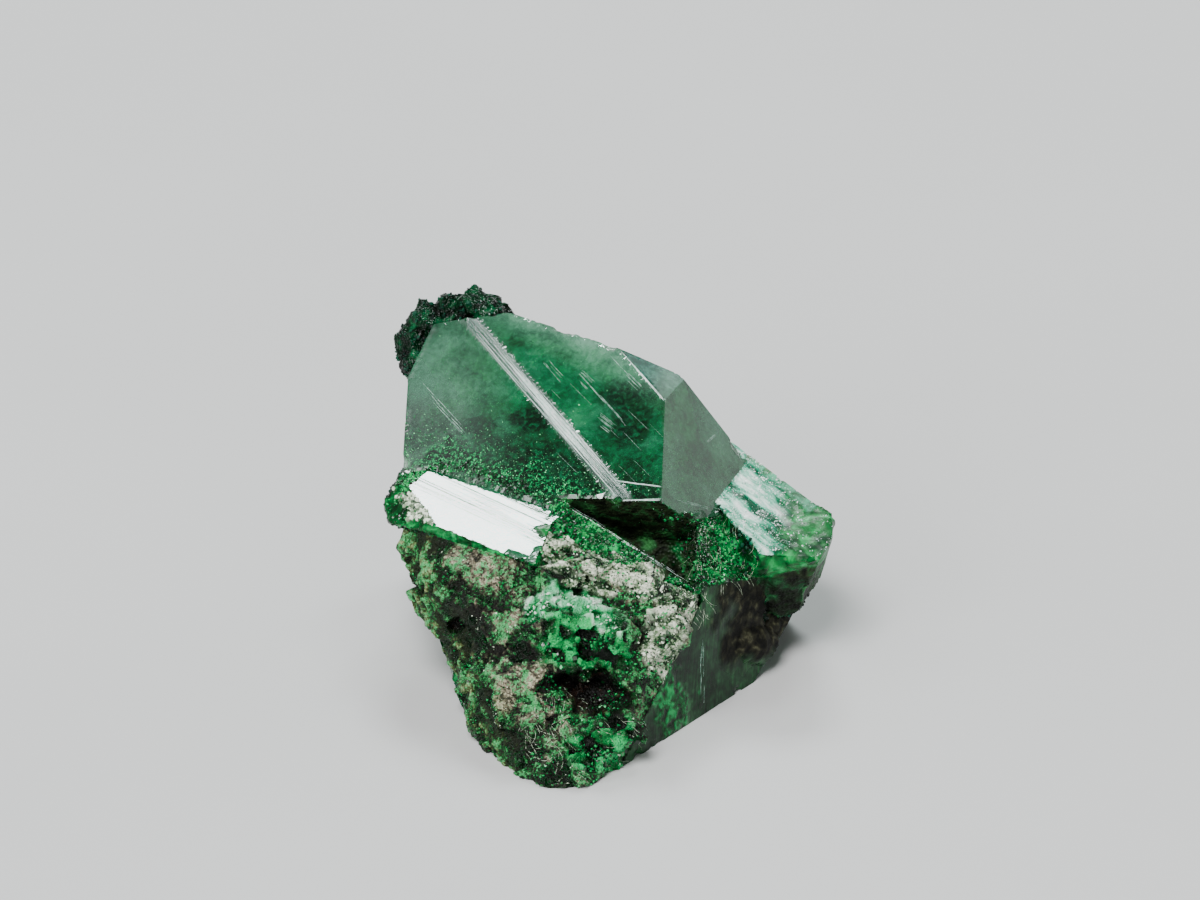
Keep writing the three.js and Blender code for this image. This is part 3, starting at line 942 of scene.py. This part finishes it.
ROCK_RAMPS = {
    "plain": (
        (0.42, 0.004, 0.004, 0.002), (0.54, 0.026, 0.026, 0.014), (0.62, 0.08, 0.07, 0.046),
        (0.70, 0.2, 0.175, 0.115), (0.80, 0.55, 0.5, 0.35),
    ),
    "olive": ((0.45, 0.01, 0.02, 0.004), (0.6, 0.07, 0.11, 0.025), (0.72, 0.3, 0.4, 0.15)),
    "cream": (
        (0.38, 0.003, 0.006, 0.002), (0.46, 0.012, 0.06, 0.018), (0.52, 0.25, 0.36, 0.2),
        (0.61, 0.95, 1, 0.8),
    ),
    "deep": (
        (0.38, 0, 0.002, 0), (0.46, 0, 0.03, 0.004), (0.54, 0, 0.17, 0.03),
        (0.66, 0.015, 0.6, 0.16),
    ),
    # mint: a painted highlight on the clump's top edge
    "mint": (
        (0.36, 0, 0.08, 0.015), (0.46, 0.01, 0.34, 0.09), (0.56, 0.2, 0.8, 0.4),
        (0.68, 0.8, 1, 0.82),
    ),
    # hollow: dark brown with painted shade, in the hollow and the hole
    "hollow": ((0.45, 0.002, 0.002, 0.001), (0.62, 0.02, 0.01, 0.006), (0.8, 0.1, 0.06, 0.04)),
}
GREEN_PATCHES = (  # where small garnets stain the rock
    (0.42, 0, 0.01, 0.002), (0.54, 0.001, 0.06, 0.012), (0.62, 0.006, 0.17, 0.035),
    (0.72, 0.04, 0.45, 0.13),
)


def rock_material():
    m = Material("rock")
    peak, tan = m.value("peak"), m.value("tan")
    large, large_depth = m.cells(8)
    small, small_depth = m.cells(24)
    combed = m.streaks("broad", COMB_WAY, 1.1, 7, 6)
    layered = m.streaks("broad", LAYER_WAY, 1.2, 4, 6)
    patchy = m.mottle(1.2, 4, 0.5)
    # The peak value paints the relief's tops lighter and its dips darker.
    shade = m.weighed((large, 0.12), (small, 0.2), (patchy, 0.16), (combed, 0.34), (peak, 0.3))
    shade = m.weighed((shade, 1.3), (tan, 0.04), (-0.225, 1))
    colour = m.over(m.ramp(shade, *ROCK_RAMPS["plain"]), "olive", shade, ROCK_RAMPS)
    share = m.weighed((m.mottle(3.2, 7, 1), 0.7), (small, 0.18), (combed, 0.22))
    share = m.weighed((share, 1), (tan, -0.06), (0.03, 1))
    green = m.ramp(shade, *GREEN_PATCHES)
    colour = m.mix(m.ramp(share, (0.53, 0), (0.61, 0.9)), colour, green)
    ledges = m.weighed((layered, 0.9), (small, 0.12), (large, 0.06), (peak, 0.14), (-0.08, 1))
    glassy = m.weighed((m.mottle(2.6, 6, 0.5), 0.6), (peak, 0.4))
    for name, value in (("cream", ledges), ("deep", glassy), ("mint", glassy), ("hollow", shade)):
        colour = m.over(colour, name, value, ROCK_RAMPS)
    glass = m.maths("MAXIMUM", m.value("mint"), m.value("deep"))
    glass = m.maths("MAXIMUM", glass, m.ramp(share, (0.53, 0), (0.61, 0.8)))
    m.bump(large_depth, 0.08, 0.7)
    m.bump(small_depth, 0.04, 0.9)
    m.bump(combed, 0.12, 0.7)
    m.bump(m.mottle(20, 6), 0.03, 0.8)
    return m.finish(colour, m.mix(glass, 0.55, 0.16), 1.6, 0.2)


def rock_looks(own):
    """How far each point of the rock stands out, how far it is dented in, and its tints."""
    front = own[:, 1] < FRONT_ROCK_Y
    cream, mint = cream_zone(own), mint_zone(own, 0.3)
    clumps = smooth_step(clump_zone(own), 0, 0.25)
    glassy = np.maximum(mint, clumps * front)
    blocks, chips, facets = broken(own, 0.62, 22), broken(own, 0.2, 23), broken(own, 0.3, 29)
    ridges = 1 - 2 * np.abs(fractal(own, 0.5, 4, 24))
    combed = fractal(own @ COMB, 0.5, 4, 25)
    layers = fractal(own @ LAYERS, 0.45, 4, 31)
    relief = 0.12 * blocks + 0.035 * chips + 0.05 * ridges + 0.05 * combed + 0.12 * cream * layers
    relief = relief * (1 - 0.5 * glassy) + 0.12 * facets * glassy
    # The hollow and the small hole are painted near black inside: partly the rock's dark brown,
    # partly painted shade in the recess.
    hollow = smooth_step(spot(own, (-0.35, 1.68), (0.8, 0.62), 0, 0.3, 41), 0, 0.7)
    hole = smooth_step(spot(own, (-3.09, 3.02), (0.2, 0.2), 0, 0.05, 43), 0.1, 0.7)
    # peak: painted light and shade, lighter on the relief's tops and facets and darker in its dips,
    # plus the chalk's own whiteness.
    peak = smooth_step(0.5 * blocks + 0.5 * chips + 0.4 * ridges + 0.4 * combed, -0.6, 1)
    chalk = smooth_step(trail(own, CHALK_PATH, 0.3, 0.4, 58), 0, 0.6)
    tan = np.maximum.reduce([trail(own, path, 0.3, 0.5, 57) for path in TAN_PATHS])
    values = {
        "peak": np.where(glassy > 0.3, smooth_step(facets, -1, 1), peak + 0.55 * chalk),
        "olive": (1 - smooth_step(own[:, 0] + 0.45 * own[:, 2], -1.9, -1.1)) * 0.8,
        "tan": smooth_step(tan, 0, 0.6),
        "cream": cream,
        "mint": mint,
        "deep": clumps,
        "hollow": np.maximum(smooth_step(hollow, 0.2, 0.6), hole),
    }
    return 0.06 * fractal(own, 0.9, 3, 21) + relief, (0.8 * hollow + 0.3 * hole) * front, values


def rock():
    points, triangles = rock_surface()
    height, dent, values = rock_looks(standing(points))
    walls, wall_faces, distance = garnet.nearest(points)
    height *= smooth_step(distance, 0.05, WALL_REACH)
    moved = points + normals_of(points, triangles) * height[:, None]
    moved = moved + (np.array(DENT_WAY) @ TO_FRAME.T) * dent[:, None]
    share = 1 - smooth_step(distance, WALL_REACH * 0.8, WALL_REACH)
    moved = moved + (walls - moved) * share[:, None] * 1.1  # a little into the garnet
    # No rock stands on the mirror face.
    below = on(face_numbers(garnet)[wall_faces], "mirror") & (distance < MIRROR_REACH)
    moved[below] = (walls - MIRROR_GAP * garnet.normals[wall_faces])[below]
    moved[:, 2] = np.maximum(moved[:, 2], 0)
    made = make_mesh("rock", moved, triangles, values, smooth=True)
    made.data.materials.append(rock_material())
    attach(made, "root")
    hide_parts("matrix")
    return moved, triangles


rock_points, rock_triangles = rock()


# ---- grains ----------------------------------------------------------------------------
def signed_axes():
    return [tuple(sign * (axis == i) for i in range(3)) for axis in range(3) for sign in (1, -1)]


def twelve_faced():
    """Points and faces of a garnet's rhombic dodecahedron, its tips one unit from its middle."""
    cubes = [tuple(c / 2 for c in corner) for corner in itertools.product((1, -1), repeat=3)]
    points = np.array(signed_axes() + cubes, float)
    faces = []
    for a, b in itertools.combinations(range(6), 2):
        if points[a] @ points[b] != 0:
            continue
        both = points[a] + points[b]
        c, d = (6 + i for i in range(8) if points[6 + i] @ both > 0.9)
        turned = np.cross(points[c] - points[a], points[b] - points[a]) @ both
        faces.append((a, c, b, d) if turned > 0 else (a, d, b, c))
    return points, np.array(faces)


def eight_faced():
    """The same for an octahedron, for the finest specks."""
    points = np.array(signed_axes(), float)
    faces = []
    for a, b, c in itertools.product((0, 1), (2, 3), (4, 5)):
        out = np.cross(points[b] - points[a], points[c] - points[a]) @ points[a]
        faces.append((a, b, c) if out > 0 else (a, c, b))
    return points, np.array(faces)


def grain_material(name, dark, usual, bright, rough, ior):
    m = Material(name)
    tone = m.maths("ADD", m.value("tone"), m.times(m.mottle(12, 4), 0.5))
    m.bump(m.mottle(40, 3), 0.004, 0.5)
    return m.finish(m.ramp(tone, (0.25, *dark), (0.7, *usual), (0.95, *bright)), rough, ior, 0.3)


CRYSTAL, SPECK = twelve_faced(), eight_faced()
# The dark, usual and bright colour, the roughness and the IOR of each kind of grain or thread.
GRAIN_LOOKS = {
    "garnet_grain": ((0, 0.01, 0.002), (0, 0.08, 0.016), (0.015, 0.45, 0.11), 0.2, 1.7),
    # rear_grain is near black: the crust's own dark green with painted shade, as it lies behind.
    "rear_grain": ((0, 0.002, 0.001), (0, 0.015, 0.008), (0.002, 0.06, 0.03), 0.5, 1.4),
    "calcite_grain": ((0.02, 0.05, 0.025), (0.3, 0.4, 0.26), (0.9, 1, 0.8), 0.35, 1.5),
    # mint_grain is pale, for the painted highlight on the clump's top edge.
    "mint_grain": ((0.01, 0.25, 0.08), (0.3, 0.75, 0.45), (0.9, 1, 0.9), 0.25, 1.6),
    "inner_grain": ((0, 0.03, 0.01), (0.005, 0.35, 0.08), (0.25, 0.95, 0.4), 0.3, 1.5),
    # highlight_line: white, for painted highlights and glints
    "highlight_line": ((0.3, 0.5, 0.42), (0.75, 0.95, 0.88), (1, 1, 1), 0.25, 1.7),
    "faint_line": ((0.05, 0.15, 0.1), (0.2, 0.4, 0.3), (0.6, 0.8, 0.7), 0.3, 1.5),
}
looks = {name: grain_material(name, *row) for name, row in GRAIN_LOOKS.items()}
BODY = (body_points, body_triangles, "garnet")
ROCK = (rock_points, rock_triangles, "matrix_rock")
SEAM_PATH = [(-4.1, 5.8), (-3.56, 6.2), (-2.76, 6.18), (-1.76, 5.78), (-0.9, 5.4)]


def random_turns(count, rng):
    w, x, y, z = unit(rng.normal(size=(count, 4))).T
    rows = [
        (1 - 2 * (y * y + z * z), 2 * (x * y - z * w), 2 * (x * z + y * w)),
        (2 * (x * y + z * w), 1 - 2 * (x * x + z * z), 2 * (y * z - x * w)),
        (2 * (x * z - y * w), 2 * (y * z + x * w), 1 - 2 * (x * x + y * y)),
    ]
    return np.array(rows).transpose(2, 0, 1)


def grains(name, shape, centres, sizes, look, rng, stretch=0.35, tones=None):
    """Copies of a shape of that half width, turned at random, joined in one mesh."""
    count, (corners, faces) = len(centres), shape
    own = corners[None] * rng.uniform(1 - stretch, 1 + stretch, (count, 1, 3))
    turned = np.einsum("nij,npj->npi", random_turns(count, rng), own)
    points = (centres[:, None] + sizes[:, None, None] * turned).reshape(-1, 3)
    points[:, 2] = np.maximum(points[:, 2], 0)
    numbers = faces[None] + len(corners) * np.arange(count)[:, None, None]
    tones = rng.random(count) if tones is None else tones
    values = {"tone": np.repeat(tones, len(corners))}
    made = make_mesh(name, points, numbers.reshape(-1, faces.shape[1]), values)
    finish_piece(made, looks[look])


def scatter(surface, weights, count, rng):
    """Random places on a surface and the ways out of it there, by a weight for each triangle."""
    points, triangles, _ = surface
    a, b, c = (points[triangles[:, i]] for i in range(3))
    flat = ways_out(points, triangles)
    chance = np.linalg.norm(flat, axis=1) * np.maximum(weights, 0)
    chosen = rng.choice(len(triangles), count, p=chance / chance.sum())
    u, v = rng.random((2, count, 1))
    fold = u + v > 1
    u, v = np.where(fold, 1 - u, u), np.where(fold, 1 - v, v)
    places = a[chosen] + u * (b - a)[chosen] + v * (c - a)[chosen]
    return places, unit(flat[chosen])


def strew(
    name, surface, weights, count, sizes, look, rng,
    shape=CRYSTAL, sink=0, stretch=0.35, paling=None,
):
    """Scatters grains over a surface, sunk into it by a share of their size.

    sizes is the least half width, the most above it and a power that makes most grains small.
    paling is a power for their tones: the higher, the more of them are dark.
    """
    places, ways = scatter(surface, weights, count, rng)
    least, span, power = sizes
    halves = least + span * rng.random(count) ** power
    tones = None if paling is None else rng.random(count) ** paling
    centres = places - sink * ways * halves[:, None]
    grains(name, shape, centres, halves, look, rng, stretch, tones)


def triangle_middles(surface):
    """The middle of each triangle of a surface, in standing coordinates."""
    points, triangles, _ = surface
    return standing(points[triangles].mean(1))


def front_crust(own, rng):
    """The small garnets on the growth step's slope, its ledge and in the notch."""
    seam = np.maximum(trail(own, SEAM_PATH, 0.14, 0.5, 61), 0) * (own[:, 1] < FRONT_Y)
    seam = seam * ~on(body_faces, "mirror", "rim")
    slope = on(body_faces, "slope") & (own[:, 1] < 4)
    ledge, bevel = on(body_faces, "ledge") * 0.5, on(body_faces, *BEVELS) * 0.2
    in_notch = smooth_step(own[:, 0] + 0.5 * fractal(own, 0.3, 3, 63), 1.0, 1.8)
    corner = on(body_faces, *NOTCH) * in_notch
    weight = seam * 1.6 + slope * 0.6 + ledge + bevel + corner * 0.5
    places, _ = scatter(BODY, weight, 7000, rng)
    sizes = 0.008 + 0.03 * rng.random(len(places)) ** 3
    at = standing(places)
    tones = 0.22 + 0.6 * fractal(at, 0.45, 4, 64) + 0.35 * rng.normal(size=len(places))
    tones -= 0.35 * (1 - smooth_step(np.abs(at[:, 0] - 1.8), 0.1, 0.5))
    tones = np.clip(tones, 0, 1)
    grains("front_crust", CRYSTAL, places, sizes, "garnet_grain", rng, tones=tones)


def garnet_crusts():
    rng = np.random.default_rng(5)
    own = triangle_middles(BODY)
    crust = (body_faces < 0).astype(float)
    strew("rear_crust", BODY, crust, 3000, (0.015, 0.035, 1), "rear_grain", rng)
    front_crust(own, rng)
    base = 1 - smooth_step(own[:, 2] + 0.3 * own[:, 0], 5.2, 6.9)
    base = (on(body_faces, "broad") * base) ** 2 + 0.004 * on(body_faces, "broad", "right")
    sizes = (0.004, 0.011, 3)
    strew("base_sparkles", BODY, base, 3600, sizes, "inner_grain", rng, SPECK, 0, 0.6, 1.3)
    # Pale specks on the shoulder: painted glints.
    shoulder = on(body_faces, "wave_a", "wave_b") * (1 - 0.8 * smooth_step(own[:, 0], 3.2, 3.8))
    sizes = (0.006, 0.02, 2)
    strew("shoulder_sparkles", BODY, shoulder, 1500, sizes, "highlight_line", rng, SPECK, 0, 0.6)
    bevel = np.maximum(spot(own, (-3.6, 5.35), (0.7, 0.3), -25, 0.4, 62), 0)
    bevel = on(body_faces, *BEVELS) * bevel
    strew("pale_grains", BODY, bevel, 260, (0.02, 0.035, 1), "calcite_grain", rng)


def rock_grains():
    rng = np.random.default_rng(6)
    own = triangle_middles(ROCK)
    cream, mint = cream_zone(own), mint_zone(own, 0.2)
    deep = smooth_step(clump_zone(own), 0, 0.3) * (own[:, 1] < FRONT_ROCK_Y)
    pale = 0.3 * cream + smooth_step(fractal(own, 0.5, 4, 72), 0.4, 0.7) * 0.15
    green = smooth_step(fractal(own, 0.6, 4, 71), 0.15, 0.5) + 0.4 * cream
    for name, weights, count, sizes, look, *shaping in (
        ("calcite_lumps", cream, 420, (0.02, 0.05, 2), "calcite_grain", CRYSTAL, 0.3, 0.6, 1.5),
        # Pale mint grains: part of the painted highlight on the clump's top edge.
        ("mint_grains", mint, 420, (0.012, 0.035, 2), "mint_grain", CRYSTAL, 0.4, 0.6),
        ("rock_crystals", deep, 420, (0.02, 0.07, 2.5), "garnet_grain", CRYSTAL, 0.4, 0.35, 1.5),
        ("calcite", pale, 3000, (0.006, 0.022, 2.5), "calcite_grain", SPECK, 0, 0.35, 1.5),
        ("rock_garnets", green, 9000, (0.008, 0.03, 3), "garnet_grain", SPECK, 0, 0.35, 1.5),
    ):
        strew(name, ROCK, weights, count, sizes, look, rng, *shaping)


def inside_garnet(points, least):
    """Which points lie inside the garnet, at least that far from its faces."""
    distance = garnet.nearest(points)[2]
    way = Vector((0.31, -0.52, 0.8))
    hits = [garnet.tree.ray_cast(Vector(p), way)[1] for p in points]
    leaves = np.array([out is not None and out.dot(way) > 0 for out in hits])
    return leaves & (distance > least)


def inclusions():
    """Specks sealed in the clear garnet, behind its front faces and denser towards its base."""
    rng = np.random.default_rng(7)
    own = triangle_middles(BODY)
    low = 1 - smooth_step(own[:, 2] + 0.25 * own[:, 0], 5.4, 7.6)
    clouds = smooth_step(fractal(own, 0.9, 4, 73), -0.1, 0.5)
    weight = on(body_faces, *SEEN_INTO) * (0.06 + 0.25 * clouds + low)
    places, ways = scatter(BODY, weight, 20000, rng)
    depth = 0.03 + 1.1 * rng.random(len(places)) ** 2
    places = places - ways * depth[:, None]
    places = places[inside_garnet(places, 0.01)]
    sizes = 0.005 + 0.013 * rng.random(len(places)) ** 3
    tones = rng.random(len(places)) ** 0.8
    grains("inclusions", SPECK, places, sizes, "inner_grain", rng, 0.6, tones)


VEILS, VEIL_CELLS = 60, 30


def veil_material():
    m = Material("veil")
    stops = (0.35, 0, 0.1, 0.02), (0.5, 0.002, 0.3, 0.08), (0.62, 0.01, 0.55, 0.2)
    colour = m.ramp(m.mottle(2.5, 6, 0.4), *stops, (0.75, 0.15, 0.8, 0.45))
    return m.finish(colour, 0.6, shine=0.1)


def veils():
    """Healed cracks sealed in the clear garnet: ragged, pierced sheets behind its front faces."""
    rng = np.random.default_rng(8)
    clear = on(body_faces, *SEEN_INTO).astype(float)
    places, ways = scatter(BODY, clear, VEILS, rng)
    steps = np.linspace(-1, 1, VEIL_CELLS + 1)
    u, v = (g.ravel()[:, None] for g in np.meshgrid(steps, steps))
    row = VEIL_CELLS + 1  # points in a row of the sheet
    corner = (np.arange(VEIL_CELLS)[:, None] * row + np.arange(VEIL_CELLS)).reshape(-1, 1)
    cells = corner + (0, 1, row + 1, row)
    all_points, all_cells, count = [], [], 0
    for i, (place, way) in enumerate(zip(places, ways)):
        out = unit(way + 0.35 * rng.normal(size=3))
        a = unit(np.cross(out, rng.normal(size=3)))
        b = np.cross(out, a)
        size = rng.uniform(0.6, 1.6)
        centre = place - way * rng.uniform(0.7, 2.4)
        points = centre + size * (u * a + v * b)
        points = points + out * (0.16 * size * noise(points, 0.7 * size, 81))[:, None]
        oval = 1 - np.hypot(u, v).ravel() + 0.35 * fractal(points, 0.4, 3, 82 + i)
        kept = (oval > 0.1) & inside_garnet(points, 0.1)
        used, numbers = np.unique(cells[kept[cells].all(1)], return_inverse=True)
        all_cells.append(numbers.reshape(-1, 4) + count)
        all_points.append(points[used])
        count += len(used)
    made = make_mesh("veils", np.concatenate(all_points), np.concatenate(all_cells), smooth=True)
    finish_piece(made, veil_material())


garnet_crusts()
rock_grains()
inclusions()
veils()


# ---- lines and fibres ------------------------------------------------------------------
LINE_STEP = 0.04  # between the points of a line, in mm
LEAP = 0.12  # a line that would step this far in or out is broken there
# The bright lines are painted highlights, along the riser's growth lines and along edges.
# Bundles of fine lines, in the standing X and Z: from, to, how far they spread to either side,
# how many, half width, wobble, and their share of the way.
BRIGHT_LINES = [
    (*BAND, 0.13, 40, 0.008, 0.012, 0.4),
    ((0.18, 8.64), (1.16, 7.52), 0.012, 5, 0.010, 0.01, 0.7),
    ((0.12, 5.96), (1.08, 5.82), 0.02, 5, 0.008, 0.02, 0.7),
    ((0.26, 5.56), (1.12, 5.58), 0.02, 6, 0.009, 0.02, 0.7),
    ((-0.96, 5.56), (1.84, 3.76), 0.02, 16, 0.007, 0.03, 0.2),
]
FAINT_LINES = [
    ((-3.82, 7.9), (-2.82, 6.82), 0.07, 9, 0.006, 0.015, 0.4),
    ((-0.66, 8.22), (0.42, 7.0), 0.02, 3, 0.006, 0.01, 0.7),
    ((-0.22, 7.22), (0.14, 6.94), 0.12, 9, 0.006, 0.01, 0.6),
    ((-1.3, 8.4), (-0.9, 7.95), 0.10, 6, 0.005, 0.01, 0.5),
    ((-0.6, 8.1), (-0.3, 7.8), 0.14, 8, 0.005, 0.01, 0.6),
    ((0.34, 8.08), (0.66, 7.76), 0.08, 6, 0.007, 0.01, 0.7),
    ((0.0, 8.5), (0.5, 7.95), 0.05, 4, 0.005, 0.01, 0.6),
    ((-1.2, 7.9), (0.8, 5.9), 0.9, 14, 0.003, 0.01, 0.15),
    ((1.34, 5.6), (2.4, 5.28), 0.03, 5, 0.006, 0.03, 0.5),
    ((1.98, 6.72), (2.2, 6.9), 0.03, 5, 0.005, 0.01, 0.7),
    ((1.9, 2.9), (1.86, 1.3), 0.05, 9, 0.007, 0.02, 0.2),
    ((-3.55, 5.97), (-1.5, 5.05), 0.1, 9, 0.005, 0.005, 0.5),
]
# Curled fibres on the rock: how many, the span of X and of Z, the way they set out, the length.
FIBRES = [
    (70, (1.5, 3.0), (3.9, 5.3), -85, 0.32),
    (46, (-1.7, -0.8), (0.5, 1.9), -60, 0.4),
    (30, (-0.7, 0.6), (0.2, 1.6), -30, 0.25),
    (26, (1.3, 2.0), (3.2, 3.8), -80, 0.25),
]
FIBRE_WIDTH, FIBRE_WOBBLE, FIBRE_BENDS = 0.005, 0.03, 6


def front_tree():
    """The finished garnet and rock, in standing coordinates, to lay lines on."""
    points = np.concatenate([standing(body_points), standing(rock_points)])
    triangles = np.concatenate([body_triangles, rock_triangles + len(body_points)])
    return BVHTree.FromPolygons(points.tolist(), triangles.tolist())


def laid(tree, path, wobble, seed):
    """The path's points as they fall on the front of the specimen, split where it is broken."""
    path = np.array(path, float)
    steps = np.linalg.norm(np.diff(path, axis=0), axis=1)
    along = np.concatenate([[0], np.cumsum(steps)])
    at = np.arange(0, along[-1], LINE_STEP)
    flat = np.stack([np.interp(at, along, path[:, i]) for i in range(2)], 1)
    seeded = np.column_stack([flat, np.full(len(flat), seed * 0.731)])
    flat = flat + wobble * np.stack([noise(seeded, 0.5, 97), noise(seeded, 0.5, 98)], 1)
    runs, run, last = [], [], None
    for x, z in flat:
        hit, way, _, _ = tree.ray_cast((x, -20, z), (0, 1, 0))
        if hit is None or (last is not None and abs(hit.y - last) > LEAP):
            runs, run, last = runs + [run], [], None
        if hit is not None:
            run, last = run + [(tuple(hit), tuple(way))], hit.y
    return [r for r in runs + [run] if len(r) > 2]


def thread(run, width):
    """The points of a three-sided thread along a run, three for each of its points."""
    places, out = np.array([r[0] for r in run]), unit(np.array([r[1] for r in run]))
    side = unit(np.cross(unit(np.gradient(places, axis=0)), out))
    taper = width * np.sin(np.linspace(0.12, math.pi - 0.12, len(run)))[:, None] ** 0.5
    ring = [places + taper * (0.9 * out), places + taper * (side - 0.5 * out)]
    ring.append(places - taper * (side + 0.5 * out))
    return np.stack(ring, 1).reshape(-1, 3)


def lines(name, paths, look, rng):
    """Threads lying along paths. Each path is (points, half width, wobble)."""
    tree = front_tree()
    points, faces, start = [], [], 0
    for number, (path, width, wobble) in enumerate(paths):
        for run in laid(tree, path, wobble, number):
            points.append(thread(run, width))
            first = start + 3 * np.arange(len(run) - 1)[:, None]
            faces += [first + (a, a + 3, b + 3, b) for a, b in ((0, 1), (1, 2), (2, 0))]
            start += 3 * len(run)
    points = in_frame(np.concatenate(points))
    made = make_mesh(name, points, np.concatenate(faces), {"tone": rng.random(len(points))})
    finish_piece(made, looks[look])


def bundle(rng, start, end, spread, count, width, wobble, share):
    """Lines close beside each other, each over a part of the way from start to end."""
    start, end = np.array(start, float), np.array(end, float)
    way = end - start
    aside = np.array((-way[1], way[0])) / np.linalg.norm(way)
    made = []
    for _ in range(count):
        length = min(1.0, rng.uniform(0.5, 1.5) * share)
        first = rng.uniform(0, 1 - length)
        shift = aside * rng.uniform(-spread, spread)
        points = [start + way * first + shift, start + way * (first + length) + shift]
        made.append((points, width * rng.uniform(0.6, 1.3), wobble))
    return made


def growth_lines():
    rng = np.random.default_rng(9)
    for name, look, rows in (
        ("bright_lines", "highlight_line", BRIGHT_LINES),
        ("faint_lines", "faint_line", FAINT_LINES),
    ):
        found = [line for row in rows for line in bundle(rng, *row)]
        lines(name, found, look, rng)


def curl(x, z, turn, length, bend):
    """A short curved path from (x, z) that sets out at turn, in degrees, and bends as it goes."""
    path = [(x, z)]
    for _ in range(FIBRE_BENDS):
        x += length / FIBRE_BENDS * math.cos(math.radians(turn))
        z += length / FIBRE_BENDS * math.sin(math.radians(turn))
        turn += bend / FIBRE_BENDS
        path.append((x, z))
    return path


def fibres():
    rng = np.random.default_rng(10)
    found = []
    for count, across, upward, turn, size in FIBRES:
        for _ in range(count):
            x, z = rng.uniform(*across), rng.uniform(*upward)
            turned, length = turn + 25 * rng.normal(), size * rng.uniform(0.5, 1.4)
            path = curl(x, z, turned, length, 60 * rng.normal())
            found.append((path, FIBRE_WIDTH, FIBRE_WOBBLE))
    lines("fibres", found, "calcite_grain", rng)


growth_lines()
fibres()

# ---- the room --------------------------------------------------------------------------
FLOOR_HALF, FLOOR_DROP = 600, 0.004  # in mm
SQUARE = ((-1, -1), (1, -1), (1, 1), (-1, 1))
LAMP_AWAY = 0.6
CAMERA_AWAY = 0.160
AIM = (-0.19, 0.03, 1.575)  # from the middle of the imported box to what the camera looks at, in mm
low, high = cad_box
middle = (low + high) / 2


def floor():
    corners = [(x * FLOOR_HALF, y * FLOOR_HALF, -FLOOR_DROP) for x, y in SQUARE]
    made = make_mesh("floor", corners, [(0, 1, 2, 3)])
    m = Material("floor_paper")
    made.data.materials.append(m.finish(m.ramp(m.mottle(0.05, 4), (0.3, 0.66), (0.7, 0.7)), 0.9))


def link(held, way, place):
    """Puts a lamp or camera in the scene at a place, with its back to that way."""
    held.location = place
    held.rotation_euler = way.to_track_quat("Z", "Y").to_euler()
    bpy.context.scene.collection.objects.link(held)


def softbox(name, toward, width, tall, radiance, tint=(1, 1, 1)):
    """A soft panel that faces the crystal from that way."""
    lamp = bpy.data.lights.new(name, "AREA")
    lamp.shape = "RECTANGLE"
    lamp.size, lamp.size_y = width, tall
    lamp.energy = radiance * math.pi * width * tall
    lamp.color = tint
    held = bpy.data.objects.new(name, lamp)
    held.visible_camera = False
    way = Vector(toward).normalized()
    link(held, way, middle + way * LAMP_AWAY)


def world():
    """Even studio light, paler towards the horizon, with a soft glow off to the upper left."""
    made = bpy.data.worlds.new("studio")
    made.use_nodes = True
    n = Nodes(made.node_tree)
    way = n.add("TexCoord").outputs["Generated"]
    up = n.add("SeparateXYZ", {0: way}).outputs[2]
    light = n.ramp(up, (0, 0.32), (0.3, 0.28), (0.6, 0.18), (1, 0.1))
    glow = n.vector("DOT_PRODUCT", way, unit(mirror_way("broad") + (-0.45, 0, -0.15)))
    light = n.mix(n.ramp(glow, (0.91, 0), (0.985, 1)), light, (1.2, 1.25, 1.3))
    background = n.add("Background", {"Color": light, "Strength": 1})
    n.add("OutputWorld", {"Surface": background.outputs[0]})
    bpy.context.scene.world = made


def camera():
    lens = bpy.data.cameras.new("camera")
    lens.lens = 240
    lens.sensor_width = 36
    lens.clip_start = 0.01
    held = bpy.data.objects.new("camera", lens)
    back = Vector((0, -COS, SIN))
    link(held, back, middle + Vector(AIM) * MM + back * CAMERA_AWAY)
    bpy.context.scene.camera = held


floor()
world()
softbox("window", mirror_way("mirror"), 0.15, 0.13, 30, (0.93, 1, 1))
softbox("overhead", mirror_way("riser") + (0.05, 0, 0), 0.10, 0.18, 12, (0.88, 1, 0.97))
softbox("top", (-0.2, -0.55, 0.81), 0.24, 0.24, 22)
softbox("front", (-0.7, -0.9, 0.5), 0.3, 0.3, 5)
softbox("right", mirror_way("right"), 0.25, 0.18, 0.55)
softbox("small", mirror_way("small"), 0.12, 0.12, 0.8)
camera()
